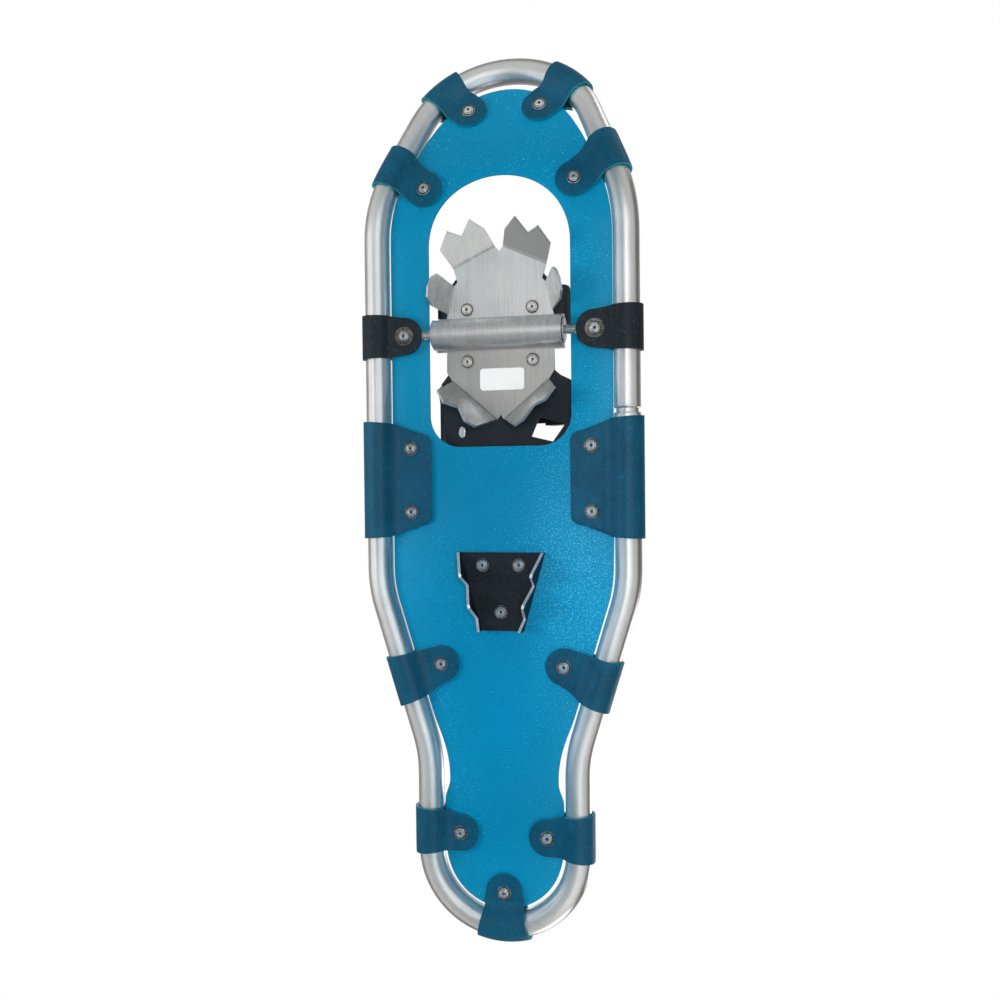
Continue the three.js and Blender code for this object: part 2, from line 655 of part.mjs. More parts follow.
function axle() {
  const rodHalf = AXLE_EYE_X - LOBE_R - GAP;
  const eyeTop = -DECK_T / 2 - GAP;
  const rod = toSolid(pin(AXLE_R, -rodHalf, rodHalf, TUBE_SIDES).rotateY(Math.PI / 2)
    .translate(0, AXLE_Y, AXLE_Z));
  const eye = new THREE.Shape();
  eye.moveTo(rodHalf - 5, -AXLE_R);
  eye.lineTo(rodHalf, -AXLE_R);
  eye.absarc(AXLE_EYE_X, 0, AXLE_EYE_W / 2, -Math.PI / 2, Math.PI / 2, false);
  eye.lineTo(rodHalf, AXLE_R);
  eye.lineTo(rodHalf - 5, AXLE_R);
  const hole = new THREE.Path().absarc(AXLE_EYE_X, 0, RIVET_R + RUN_FIT, 0, 2 * Math.PI, true);
  eye.holes.push(hole);
  const tab = prism(eye, eyeTop - AXLE_EYE_T, eyeTop).translate([0, AXLE_Y, 0]);
  return rod.add(bothSides(tab));
}

function bush(sign) {
  const outer = HUMP_R - PLATE_T - GAP;
  const shape = new THREE.Shape();
  shape.moveTo(outer, PLATE_Z + PLATE_T - AXLE_Z);
  shape.lineTo(-outer, PLATE_Z + PLATE_T - AXLE_Z);
  shape.absarc(0, 0, outer, Math.PI, 2 * Math.PI, false);
  shape.holes.push(new THREE.Path().absarc(0, 0, AXLE_R + RUN_FIT, 0, 2 * Math.PI, true));
  const body = prism(shape, HUMP_HALF - BUSH_LENGTH, HUMP_HALF);
  const turn = new THREE.Matrix4().makeBasis(
    new THREE.Vector3(0, 1, 0), new THREE.Vector3(0, 0, 1), new THREE.Vector3(1, 0, 0),
  ).setPosition(0, AXLE_Y, AXLE_Z);
  const placed = body.transform(turn.elements);
  return sign > 0 ? placed : placed.mirror([1, 0, 0]);
}

function endWasher(sign) {
  const near = HUMP_HALF + RUN_FIT;
  const far = near + END_WASHER_T;
  const ring = turned([
    [AXLE_R + RUN_FIT, near], [HUMP_R - PLATE_T, near], [HUMP_R - PLATE_T, far],
    [AXLE_R + RUN_FIT, far], [AXLE_R + RUN_FIT, near],
  ], 16).rotateY(Math.PI / 2).translate(0, AXLE_Y, AXLE_Z);
  const body = toSolid(ring);
  return sign > 0 ? body : body.mirror([1, 0, 0]);
}

// ---- binding ----

// A flat band of webbing or moulded strap along listed points, its width along one direction
function band(points, across, width, thickness) {
  const section = polygon([
    [-thickness / 2, -width / 2], [thickness / 2, -width / 2],
    [thickness / 2, width / 2], [-thickness / 2, width / 2],
  ]);
  const normals = points.map((p, i) => {
    const from = points[Math.max(0, i - 1)];
    const to = points[Math.min(points.length - 1, i + 1)];
    return new THREE.Vector3().crossVectors(across, to.clone().sub(from)).normalize();
  });
  return toSolid(swept(section, points, normals, points.map(() => across)));
}

// Half arches from the base plate to the crown, as [x, z] above the tube centre plane
const TOE_ARCH = [[51, 14], [50.4, 24], [48, 38], [42.5, 52], [31, 64], [16, 71], [0, 73.5]];
const INSTEP_ARCH = [[54, 14], [55, 26], [54, 42], [50.5, 56], [45, 68], [35, 81], [19, 91], [0, 95]];
const TIGHT_SIDE = 0.87;
const INSTEP_TIGHT = INSTEP_ARCH.map(([x, z]) => [x * TIGHT_SIDE, z]);
const TOE_WEB = { left: TOE_ARCH, right: TOE_ARCH, y: TOE_WEB_Y, width: TOE_WEB_W, first: 1, seat: 2 };
const INSTEP_WEB = {
  left: INSTEP_ARCH, right: INSTEP_TIGHT, y: INSTEP_WEB_Y, width: INSTEP_WEB_W, first: 2, seat: 3,
};
const HEEL_ROUTE = [
  [55, -85, 26], [55, -58, 26], [53, -20, 29], [48, 25, 36], [41, 62, 42], [27, 88, 46], [0, 99, 48],
];
const ACROSS = new THREE.Vector3(0, 1, 0);

function archCurve({ left, right, y, first }) {
  const up = right.slice(first, -1).map(([x, z]) => new THREE.Vector3(-x, y, z));
  const down = left.slice(first).map(([x, z]) => new THREE.Vector3(x, y, z)).reverse();
  return new THREE.CatmullRomCurve3([...up, ...down], false, 'centripetal');
}

// Where an arch passes one of its points: the place, and the outward direction there
function archSeat(half, i) {
  const [lastX, lastZ] = half[i - 1];
  const [nextX, nextZ] = half[i + 1];
  const length = Math.hypot(nextX - lastX, nextZ - lastZ);
  return { x: half[i][0], z: half[i][1], outX: (nextZ - lastZ) / length, outZ: (lastX - nextX) / length };
}

function onSide(body, sign) {
  return sign > 0 ? body : body.mirror([1, 0, 0]);
}

// Something turned about +Z, aimed outwards from an arch point
function aimed(geometry, half, i, y, sign) {
  const seat = archSeat(half, i);
  const placed = geometry.rotateY(Math.atan2(seat.outX, seat.outZ)).translate(seat.x, y, seat.z);
  return onSide(toSolid(placed), sign);
}

// The base's moulded lug under one end of a strap
function lug({ y, width, seat }, half, sign) {
  const mid = BASE_Z + BASE_T / 2;
  const outerX = half[0][0] - WEB_OFFSET;
  const path = [[28, mid], [outerX - 5, mid], [outerX - 1.2, mid + 1.6], [outerX, mid + 6]];
  for (let i = 1; i <= seat + 1; i += 1) {
    const { x, z, outX, outZ } = archSeat(half, i);
    path.push([x - outX * WEB_OFFSET, z - outZ * WEB_OFFSET]);
  }
  const points = path.map(([x, z]) => new THREE.Vector3(x, y, z));
  return onSide(band(points, ACROSS, width + 2, BASE_T), sign);
}

function heelCurve() {
  const left = HEEL_ROUTE.map((k) => new THREE.Vector3(...k));
  const right = left.slice(0, -1).map((p) => {
    const ease = THREE.MathUtils.clamp((p.y + 58) / 120, 0, 1);
    return new THREE.Vector3(-p.x * THREE.MathUtils.lerp(TIGHT_SIDE, 1, ease), p.y, p.z);
  });
  return new THREE.CatmullRomCurve3([...right, ...left.reverse()], false, 'centripetal');
}

// Each strap end and heel strap end: its arch half, the arch point it is riveted at, its side
const WEB_SEATS = [TOE_WEB, INSTEP_WEB].flatMap((web) => [
  { half: web.left, at: web.seat, y: web.y, sign: 1 },
  { half: web.right, at: web.seat, y: web.y, sign: -1 },
]);
const HEEL_SEATS = [
  { half: INSTEP_ARCH, at: 1, y: INSTEP_WEB_Y, sign: 1 },
  { half: INSTEP_TIGHT, at: 1, y: INSTEP_WEB_Y, sign: -1 },
];

function holed(body, seats) {
  return seats.reduce((rest, { half, at, y, sign }) => {
    const hole = pin(RIVET_R + RUN_FIT, -8, 6);
    return rest.subtract(aimed(hole, half, at, y, sign));
  }, body);
}

function webRivet({ half, at, y, sign }) {
  const low = -WEB_OFFSET - BASE_T / 2 - 3 * RUN_FIT;
  return aimed(rivetBody(low, WEB_T / 2 + RUN_FIT), half, at, y, sign);
}

function bindingBase() {
  const outline = [
    [0, -168], [29, -168], [37, -158], [37, -96], [44, -90], [52, -86], [54, -58], [45, -36], [36, -8],
    [31, 6], [-31, 6], [-36, -8], [-42, -45], [-47, -76], [-45, -86], [-37, -96], [-37, -158], [-29, -168],
  ];
  let base = prism(polygon(outline), BASE_Z, BASE_Z + BASE_T);
  const window = polygon([[28, -60], [47, -54.5], [38, -42], [22, -46]]);
  base = base.subtract(prism(window, BASE_Z - 1, BASE_Z + BASE_T + 1));
  [TOE_WEB, INSTEP_WEB].forEach((web) => {
    base = base.add(lug(web, web.left, 1)).add(lug(web, web.right, -1));
  });
  BINDING_RIVETS.forEach(([x, y]) => {
    base = base.subtract(bothSides(toSolid(pin(RIVET_R + RUN_FIT, 0, 20).translate(x, y, 0))));
  });
  return holed(base, [...WEB_SEATS, ...HEEL_SEATS]);
}

function webStrap(web, steps) {
  const body = band(archCurve(web).getPoints(steps), ACROSS, web.width, WEB_T);
  return holed(body, WEB_SEATS.filter((seat) => seat.y === web.y));
}

function heelStrap() {
  return holed(band(heelCurve().getPoints(28), UPWARD, HEEL_WEB_W, WEB_T), HEEL_SEATS);
}

// ---- ratchet buckles ----

function shifted(points, outward) {
  return points.map((p, i) => {
    const from = points[Math.max(0, i - 1)];
    const to = points[Math.min(points.length - 1, i + 1)];
    const inward = new THREE.Vector3().crossVectors(ACROSS, to.clone().sub(from)).normalize();
    return p.clone().addScaledVector(inward, -outward);
  });
}

// Frame at the middle of a buckle: x along the strap towards the wearer's left, y outwards
function buckleFrame(web, at) {
  const curve = archCurve(web);
  const along = curve.getTangentAt(at);
  const outward = new THREE.Vector3().crossVectors(along, ACROSS).normalize();
  const origin = curve.getPointAt(at).addScaledVector(outward, PIN_RISE);
  return new THREE.Matrix4().makeBasis(along, outward, new THREE.Vector3().crossVectors(along, outward))
    .setPosition(origin);
}

function ratchetBody(web, at) {
  const curve = archCurve(web);
  const stretchOf = (length) => {
    const reach = length / 2 / curve.getLength();
    return [0, 1, 2, 3, 4].map((i) => curve.getPointAt(at - reach + (reach * i) / 2));
  };
  const floorTop = -WEB_T / 2 - GAP;
  const floorLow = floorTop - BUCKLE_WALL;
  const room = web.width + 2 * GAP;
  const block = band(
    shifted(stretchOf(BUCKLE_LENGTH), (BUCKLE_RISE + floorLow) / 2),
    ACROSS, room + 2 * BUCKLE_WALL, BUCKLE_RISE - floorLow,
  );
  const channel = band(
    shifted(stretchOf(BUCKLE_LENGTH + 4), (BUCKLE_RISE + 2 + floorTop) / 2),
    ACROSS, room, BUCKLE_RISE + 2 - floorTop,
  );
  const half = room / 2 + BUCKLE_WALL / 2;
  const hinge = pin(PIN_R, -half, half).applyMatrix4(buckleFrame(web, at));
  return block.subtract(channel).add(toSolid(hinge));
}

function ratchetLever(web, at) {
  const eye = PIN_R + RUN_FIT + 1.6;
  const shape = new THREE.Shape();
  shape.absarc(0, 0, eye, Math.PI / 2, (3 * Math.PI) / 2, false);
  shape.lineTo(3, -eye);
  shape.lineTo(6, eye - 2.6);
  shape.lineTo(LEVER_LENGTH - 6, eye - 2.6);
  shape.lineTo(LEVER_LENGTH, eye);
  shape.lineTo(LEVER_LENGTH - 3, eye + 1.5);
  shape.lineTo(LEVER_LENGTH - 8, eye);
  shape.holes.push(new THREE.Path().absarc(0, 0, PIN_R + RUN_FIT, 0, 2 * Math.PI, true));
  const width = web.width;
  const lever = prism(shape, -width / 2, width / 2, 5);
  return lever.transform(buckleFrame(web, at).elements);
}

function label() {
  const top = PLATE_Z - GAP / 2;
  const sheet = new THREE.BoxGeometry(...LABEL_SIZE).translate(...LABEL_AT, top - LABEL_SIZE[2] / 2);
  return toSolid(sheet);
}

add('frame_tube', frameTube(), 'tube');
add('deck', deckBody(), 'deck');
addStraps();
HEEL_RIVETS.forEach(([x, y], i) => {
  const low = -DECK_T / 2 - GAP - PLATE_T - RUN_FIT;
  add(`heel_crampon_rivet_${i + 1}`, stoodAt(rivetBody(low, DECK_T / 2 + RUN_FIT), x, y), 'steel');
});
add('heel_crampon', heelCrampon(), 'black');
add('toe_crampon', toeCrampon(), 'steel');
add('axle', axle(), 'steel');
[['left', 1], ['right', -1]].forEach(([side, sign]) => {
  add(`axle_bush_${side}`, bush(sign), 'black');
  add(`axle_washer_${side}`, endWasher(sign), 'steel');
});
add('binding_base', bindingBase(), 'black');
BINDING_RIVETS.forEach(([x, y], i) => {
  [['left', 1], ['right', -1]].forEach(([side, sign]) => {
    const rivet = rivetBody(PLATE_Z - RUN_FIT, BASE_Z + BASE_T + RUN_FIT).translate(sign * x, y, 0);
    add(`binding_rivet_${i + 1}_${side}`, toSolid(rivet), 'steel');
  });
});
add('label', label(), 'label');
add('toe_web', webStrap(TOE_WEB, 26), 'black');
add('instep_web', webStrap(INSTEP_WEB, 30), 'black');
add('heel_web', heelStrap(), 'black');
[...WEB_SEATS, ...HEEL_SEATS].forEach((seat, i) => {
  const web = ['toe_web', 'instep_web', 'heel_web'][Math.floor(i / 2)];
  add(`${web}_rivet_${seat.sign > 0 ? 'left' : 'right'}`, webRivet(seat), 'steel');
});
[['toe', TOE_WEB, TOE_BUCKLE_AT], ['instep', INSTEP_WEB, INSTEP_BUCKLE_AT]].forEach(([name, web, at]) => {
  add(`${name}_ratchet`, ratchetBody(web, at), 'black');
  add(`${name}_lever`, ratchetLever(web, at), 'black');
});

// The origin is the middle of the bottom of the whole object's box
const box = new THREE.Box3().setFromObject(group);
const middle = box.getCenter(new THREE.Vector3());
group.children.forEach((mesh) => mesh.geometry.translate(-middle.x, -middle.y, -box.min.z));

export default group;
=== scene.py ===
"""A left snowshoe: tube frame, riveted deck, brushed claws and a pivoting strap binding."""

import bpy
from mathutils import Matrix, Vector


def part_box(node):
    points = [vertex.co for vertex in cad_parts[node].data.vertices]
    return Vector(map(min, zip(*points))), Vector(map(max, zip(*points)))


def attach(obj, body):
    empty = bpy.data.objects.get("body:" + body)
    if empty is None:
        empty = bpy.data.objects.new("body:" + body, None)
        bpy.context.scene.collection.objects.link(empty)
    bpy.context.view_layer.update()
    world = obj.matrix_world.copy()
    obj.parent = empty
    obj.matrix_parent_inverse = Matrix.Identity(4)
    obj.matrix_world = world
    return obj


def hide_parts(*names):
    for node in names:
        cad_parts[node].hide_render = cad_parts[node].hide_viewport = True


bl_info = {
    "name": "Snowshoe",
    "version": (1, 0, 0),
    "blender": (4, 5, 0),
    "location": "View3D > Sidebar > Snowshoe",
    "description": "Builds the visible surfaces of a tube-framed snowshoe round its fixed frame",
    "category": "Object",
}

import math
from contextlib import contextmanager

import bmesh
import bpy
from bpy.props import (
    BoolProperty,
    FloatProperty,
    FloatVectorProperty,
    IntProperty,
    PointerProperty,
)
from mathutils import Matrix, Vector
from mathutils.geometry import delaunay_2d_cdt

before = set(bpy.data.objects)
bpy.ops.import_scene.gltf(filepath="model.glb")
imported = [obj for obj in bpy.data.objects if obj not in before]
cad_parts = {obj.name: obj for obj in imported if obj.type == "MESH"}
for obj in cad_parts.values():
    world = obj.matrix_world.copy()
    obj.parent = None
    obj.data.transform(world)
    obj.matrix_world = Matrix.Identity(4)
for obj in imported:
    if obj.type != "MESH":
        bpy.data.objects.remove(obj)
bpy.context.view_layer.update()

# ---- drawn sizes of the frame, in millimetres, flat before the toe is bent up ----

TUBE_R = 9.5
HALF_WIDTH = 92.3
TOE_Y, TOE_RADIUS, TOE_CORNER_Y, TOE_BEND_RUN = -332.7, 68.0, -214.0, 24.0
WAIST_TOP_Y, WAIST_LOW_Y, WAIST_BEND_RUN = 64.0, 186.0, 15.0
TAIL_Y, TAIL_RADIUS = 310.5, 55.0
UPTURN_Y, UPTURN_RADIUS, UPTURN_ANGLE = -200.0, 130.0, math.radians(22.5)
JOINT_Y, NECK_GAP = -64.0, 2.5
AXLE_Y = -121.0
DECK_T, GAP, LEAF_T = 1.6, 0.4, 2.0
OPENING_HALF, OPENING_TOP_Y, OPENING_END_Y, OPENING_CORNER = 52.5, -185.0, -39.0, 23.0
LOBE_R = 13.5
LEAF_IN = DECK_T / 2 + GAP
SLEEVE_R = TUBE_R + GAP
WRAP_R = SLEEVE_R + LEAF_T

AXLE_LOW, AXLE_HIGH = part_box("axle")
SHIFT_Y = (AXLE_LOW.y + AXLE_HIGH.y) * 500 - AXLE_Y
SHIFT_Z = AXLE_HIGH.z * 1000 + LEAF_IN


def in_row(x, y, z):
    """A drawn point, bent with the toe and set in the row frame, in metres."""
    ahead = UPTURN_Y - y
    if ahead > 0:
        angle = min(ahead / UPTURN_RADIUS, UPTURN_ANGLE)
        beyond = max(0.0, ahead - UPTURN_RADIUS * UPTURN_ANGLE)
        radius = UPTURN_RADIUS - z
        y = UPTURN_Y - radius * math.sin(angle) - beyond * math.cos(angle)
        z = UPTURN_RADIUS - radius * math.cos(angle) + beyond * math.sin(angle)
    return Vector((x, y + SHIFT_Y, z + SHIFT_Z)) / 1000


def up_at(y):
    """The deck's upward normal at a drawn distance along Y."""
    angle = min(max((UPTURN_Y - y) / UPTURN_RADIUS, 0.0), UPTURN_ANGLE)
    return Vector((0, math.sin(angle), math.cos(angle)))


def smoothstep(value, low, high):
    share = min(max((value - low) / (high - low), 0.0), 1.0)
    return share * share * (3 - 2 * share)


def arc(cx, cy, radius, start, end, steps):
    return [
        Vector((cx + radius * math.cos(a), cy + radius * math.sin(a)))
        for a in (start + (end - start) * i / steps for i in range(steps + 1))
    ]


def quadratic(start, corner, end, steps):
    points = []
    for i in range(steps + 1):
        t = i / steps
        points.append(start * (1 - t) ** 2 + corner * 2 * t * (1 - t) + end * t**2)
    return points


def near_side():
    """Tube centreline from the toe to the tail on the wearer's left, drawn flat."""
    centre_y = TOE_Y + TOE_RADIUS
    reach = math.hypot(HALF_WIDTH, TOE_CORNER_Y - centre_y)
    turn = math.atan2(TOE_CORNER_Y - centre_y, HALF_WIDTH) - math.acos(TOE_RADIUS / reach)
    slant = Vector((-math.sin(turn), math.cos(turn)))
    corner = Vector((HALF_WIDTH, TOE_CORNER_Y))
    waist = Vector((TAIL_RADIUS - HALF_WIDTH, WAIST_LOW_Y - WAIST_TOP_Y)).normalized()
    high, low = Vector((HALF_WIDTH, WAIST_TOP_Y)), Vector((TAIL_RADIUS, WAIST_LOW_Y))
    run = WAIST_BEND_RUN
    return [
        *arc(0, centre_y, TOE_RADIUS, -math.pi / 2, turn, 40),
        *quadratic(
            corner - slant * TOE_BEND_RUN,
            corner,
            corner + Vector((0, TOE_BEND_RUN)),
            16,
        ),
        *quadratic(high - Vector((0, run)), high, high + waist * run, 12),
        *quadratic(low - waist * run, low, low + Vector((0, run)), 12),
        *arc(0, TAIL_Y - TAIL_RADIUS, TAIL_RADIUS, 0, math.pi / 2, 40),
    ]


class Centreline:
    """The closed tube centreline, looked up by the distance along it from the toe."""

    def __init__(self):
        near = near_side()
        far = [Vector((-p.x, p.y)) for p in reversed(near[1:-1])]
        self.points = near + far
        self.starts = [0.0]
        for here, there in zip(self.points, self.points[1:] + self.points[:1]):
            self.starts.append(self.starts[-1] + (there - here).length)
        self.length = self.starts[-1]
        self.near_length = self.starts[len(near) - 1]

    def at(self, run):
        run %= self.length
        low, high = 0, len(self.starts) - 1
        while high - low > 1:
            middle = (low + high) // 2
            low, high = (middle, high) if self.starts[middle] <= run else (low, middle)
        share = (run - self.starts[low]) / (self.starts[low + 1] - self.starts[low])
        here, there = self.points[low], self.points[(low + 1) % len(self.points)]
        return here.lerp(there, share)

    def along(self, run):
        return (self.at(run + 1.5) - self.at(run - 1.5)).normalized()

    def inward(self, run):
        along = self.along(run)
        return Vector((-along.y, along.x))

    def run_at(self, y):
        """Distance along the near side at which the centreline passes a drawn Y."""
        low, high = 0.0, self.near_length
        for _ in range(40):
            middle = (low + high) / 2
            low, high = (middle, high) if self.at(middle).y < y else (low, middle)
        return (low + high) / 2


LINE = Centreline()

# ---- meshes and objects ----

# Distances in metres below which points are joined, and the turn below which faces are
NODE_DOUBLE, SHELL_DOUBLE, SHEET_DOUBLE, SHEET_SLIVER = 1e-6, 2e-6, 2e-5, 1e-5
FLAT_ANGLE = math.radians(0.6)


def linear(r, g, b):
    """A colour given as 0 to 255 display values, as linear light."""
    return tuple(
        c / 12.92 if c <= 0.04045 else ((c + 0.055) / 1.055) ** 2.4
        for c in (r / 255, g / 255, b / 255)
    )


def dim(tone, share, lift=0.0):
    """A colour scaled by a share, and lifted."""
    return tuple(c * share + lift for c in tone)


def new_object(name, mesh, *materials):
    thing = bpy.data.objects.new(name, mesh)
    bpy.context.scene.collection.objects.link(thing)
    for material in materials:
        mesh.materials.append(material)
    return thing


def mesh_from(points, faces, name="shape"):
    mesh = bpy.data.meshes.new(name)
    mesh.from_pydata([tuple(p) for p in points], [], faces)
    mesh.update()
    return mesh


@contextmanager
def opened(mesh):
    """A mesh opened for editing, and written back when the block ends."""
    made = bmesh.new()
    made.from_mesh(mesh)
    yield made
    made.to_mesh(mesh)
    made.free()


def smooth(mesh, degrees):
    """Shades a mesh smooth, with sharp edges where it turns by more than an angle."""
    mesh.shade_smooth()
    limit = math.radians(degrees)
    with opened(mesh) as made:
        for edge in made.edges:
            if len(edge.link_faces) == 2:
                edge.smooth = edge.calc_face_angle(0.0) < limit


def rounded(width, segments=2, degrees=60, **more):
    """A step for modified() that rounds edges which turn by more than an angle."""
    limit = {"limit_method": "ANGLE", "angle_limit": math.radians(degrees)}
    return "BEVEL", {"width": width, "segments": segments, **limit, **more}


def walled(thickness, **more):
    """A step for modified() that gives a sheet its thickness, half on each side."""
    return "SOLIDIFY", {"thickness": thickness, "offset": 0.0, "use_even_offset": True, **more}


def modified(thing, *steps):
    """Applies modifiers, given as (kind, settings), and leaves the object a plain mesh."""
    for kind, settings in steps:
        modifier = thing.modifiers.new(kind.title(), kind)
        for key, value in settings.items():
            setattr(modifier, key, value)
    evaluated = thing.evaluated_get(bpy.context.evaluated_depsgraph_get())
    mesh = bpy.data.meshes.new_from_object(evaluated)
    thing.modifiers.clear()
    thing.data = mesh
    return thing


def facing_out(mesh):
    """Joins a closed mesh's doubles and turns its faces outwards."""
    with opened(mesh) as made:
        bmesh.ops.remove_doubles(made, verts=made.verts, dist=SHELL_DOUBLE)
        bmesh.ops.recalc_face_normals(made, faces=made.faces)


def dressed(node, material, bevel, segments, angle, shade):
    """A piece with a CAD node's exact shape, its flat faces joined and its edges rounded."""
    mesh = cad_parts[node].data.copy()
    mesh.materials.clear()
    with opened(mesh) as made:
        bmesh.ops.remove_doubles(made, verts=made.verts, dist=NODE_DOUBLE)
        bmesh.ops.dissolve_limit(
            made, angle_limit=FLAT_ANGLE, verts=made.verts, edges=made.edges
        )
        bmesh.ops.recalc_face_normals(made, faces=made.faces)
    thing = new_object(f"{node}_dressed", mesh, material)
    modified(thing, rounded(bevel, segments, angle, miter_outer="MITER_ARC"))
    smooth(thing.data, shade)
    even = {"mode": "FACE_AREA", "weight": 90, "keep_sharp": True}
    return modified(thing, ("WEIGHTED_NORMAL", even))


def finish_piece(thing, body, slot, *nodes):
    """Hangs a finished piece on its body, and hides the CAD nodes it stands for."""
    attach(thing, body)
    if nodes:
        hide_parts(*nodes)


def lathe(profile, sides=40):
    """A closed solid turned about +Z from (radius, height) pairs that start and end on the axis."""
    points, faces, rings = [], [], []
    for radius, height in profile:
        if radius < 1e-9:
            rings.append([len(points)])
            points.append((0, 0, height))
            continue
        rings.append(list(range(len(points), len(points) + sides)))
        for i in range(sides):
            turn = 2 * math.pi * i / sides
            points.append((radius * math.cos(turn), radius * math.sin(turn), height))
    for low, high in zip(rings, rings[1:]):
        for i in range(sides):
            j = (i + 1) % sides
            if len(low) == 1:
                faces.append((low[0], high[j], high[i]))
            elif len(high) == 1:
                faces.append((low[i], low[j], high[0]))
            else:
                faces.append((low[i], low[j], high[j], high[i]))
    mesh = mesh_from(points, faces, "turned")
    facing_out(mesh)
    return mesh


# ---- materials ----


class Wire:
    """A shader value that adds Math nodes when it is used in arithmetic."""

    def __init__(self, maker, socket):
        self.maker = maker
        self.socket = socket

    def maths(self, operation, *others):
        return self.maker.node("ShaderNodeMath", [self, *others], operation=operation)

    def __add__(self, other):
        return self.maths("ADD", other)

    def __sub__(self, other):
        return self.maths("SUBTRACT", other)

    def __mul__(self, other):
        return self.maths("MULTIPLY", other)

    __radd__ = __add__
    __rmul__ = __mul__

    def __rsub__(self, other):
        return self * -1.0 + other

    def between(self, low, high):
        """0 below low, 1 above high, and a smooth rise between."""
        return self.maker.node(
            "ShaderNodeMapRange",
            [self, low, high, 0.0, 1.0],
            interpolation_type="SMOOTHSTEP",
        )


class Finish:
    """One material, built node by node."""

    def __init__(self, name):
        self.material = bpy.data.materials.new(name)
        self.material.use_nodes = True
        self.tree = self.material.node_tree
        self.shader = self.tree.nodes["Principled BSDF"]

    def node(self, kind, inputs=(), out=0, **settings):
        """Adds a node. Inputs are a list in socket order or a dict by socket name."""
        made = self.tree.nodes.new(kind)
        for key, value in settings.items():
            setattr(made, key, value)
        pairs = inputs.items() if isinstance(inputs, dict) else enumerate(inputs)
        for key, value in pairs:
            if value is not None:
                self.plug(made.inputs[key], value)
        return Wire(self, made.outputs[out])

    def plug(self, socket, value):
        if isinstance(value, Wire):
            self.tree.links.new(value.socket, socket)
        else:
            socket.default_value = value

    def place(self, scale=(1, 1, 1), shift=(0, 0, 0)):
        """Object coordinates in metres, scaled on each axis and then shifted."""
        at = self.node("ShaderNodeTexCoord", out="Object")
        return self.node("ShaderNodeMapping", {"Vector": at, "Scale": scale, "Location": shift})

    def noise(self, scale, detail=4.0, rough=0.55, at=None):
        sizes = {"Scale": scale, "Detail": detail, "Roughness": rough}
        return self.node(
            "ShaderNodeTexNoise", {"Vector": at or self.place(), **sizes}, out="Fac"
        )

    def cells(self, scale):
        """Distance from the middles of softly joined cells."""
        return self.node(
            "ShaderNodeTexVoronoi",
            {"Vector": self.place(), "Scale": scale},
            out="Distance",
            feature="SMOOTH_F1",
        )

    def mix(self, share, one, two):
        """Mixes two colours, each a linear triple or a wire."""
        made = self.tree.nodes.new("ShaderNodeMix")
        made.data_type = "RGBA"
        for key, value in ((0, share), (6, one), (7, two)):
            if isinstance(value, tuple):
                value = (*value[:3], 1.0)
            self.plug(made.inputs[key], value)
        return Wire(self, made.outputs[2])

    def bump(self, height, depth, strength):
        return self.node(
            "ShaderNodeBump", {"Height": height, "Distance": depth, "Strength": strength}
        )

    def set(self, **sockets):
        for name, value in sockets.items():
            if isinstance(value, tuple) and len(value) == 3:
                value = (*value, 1.0)
            self.plug(self.shader.inputs[name.replace("_", " ")], value)
        return self.material


def satin_silver(name, tone, rough):
    """Bare drawn aluminium with a satin skin, faint mottling and small scuffs."""
    f = Finish(name)
    mottle = f.noise(55, 5, 0.6)
    fine = f.noise(2600, 3, 0.5)
    scuff = f.noise(900, 6, 0.65, f.place((1, 0.12, 1))).between(0.62, 0.72)
    tint = f.mix(mottle, dim(tone, 0.93), tone)
    tint = f.mix(scuff * 0.35, tint, dim(tone, 0.72))
    height = fine * 0.6 + mottle * 0.4
    return f.set(
        Base_Color=tint,
        Roughness=mottle * 0.1 + scuff * 0.12 + fine * 0.05 + (rough - 0.07),
        Metallic=1.0,
        Normal=f.bump(height, 0.00002, 0.5),
    )


# Row heights between which a claw leaves its plate, and the tones painted on the toe crampon: shade
# on the plate by the axle, a highlight on the front claws and shade on the claw at +X
FOLD = (0.0232, 0.0215)
PAINTED_SHADE_PLATE, PAINTED_HIGHLIGHT_CLAW, PAINTED_SHADE_CLAW = (0.3, 0.285, 0.27), (0.95, 0.95, 0.9), (0.22, 0.22, 0.215)


def brushed_plate(name, tone, rough, stretch=0.012, rear=0.0, metal=0.92):
    """Sheet aluminium brushed lengthwise, with streaks, handling marks and duller patches.

    The share called rear paints shade on the plate by the axle, a highlight on the front claws and
    shade on the claw at +X.
    """
    f = Finish(name)
    grain = f.noise(1500, 5, 0.7, f.place((1, stretch, 1)))
    broad = f.noise(230, 4, 0.6, f.place((1, stretch * 2.2, 0.6)))
    patch = f.noise(32, 3, 0.55)
    streak = (grain * 0.6 + broad * 0.4).between(0.36, 0.66)
    tint = f.mix(streak, dim(tone, 0.62), tone)
    tint = f.mix(patch.between(0.5, 0.75) * 0.3, tint, dim(tone, 0.7))
    at = f.node("ShaderNodeTexCoord", out="Object")
    across, back, up = (f.node("ShaderNodeSeparateXYZ", [at], i) for i in range(3))

    def behind(low, high):
        """0 to 1 between two distances behind the axle, in metres."""
        return back.between(AXLE_HIGH.y + low, AXLE_HIGH.y + high)

    folded = up.between(*FOLD)
    claws = behind(0.008, 0.011) * folded
    # Painted shade on the plate by the axle, kept off the claws behind it
    rear_painted_shade = behind(-0.018, 0.02) * (1 - claws)
    tint = f.mix(rear_painted_shade * rear, tint, PAINTED_SHADE_PLATE)
    # Painted highlight on the front claws, with painted shade over it on the claw at +X
    front = behind(-0.043, -0.053) * folded
    shade = front * across.between(-0.002, 0.002)
    tint = f.mix(front * rear * 0.7, tint, PAINTED_HIGHLIGHT_CLAW)
    tint = f.mix(shade * rear * 1.2, tint, PAINTED_SHADE_CLAW)
    return f.set(
        Base_Color=tint,
        Roughness=streak * -0.14 + patch * 0.12 + (rough + 0.06),
        Metallic=front * -0.45 + metal,
        Normal=f.bump(grain * 0.7 + broad * 0.3, 0.00006, 0.55),
    )


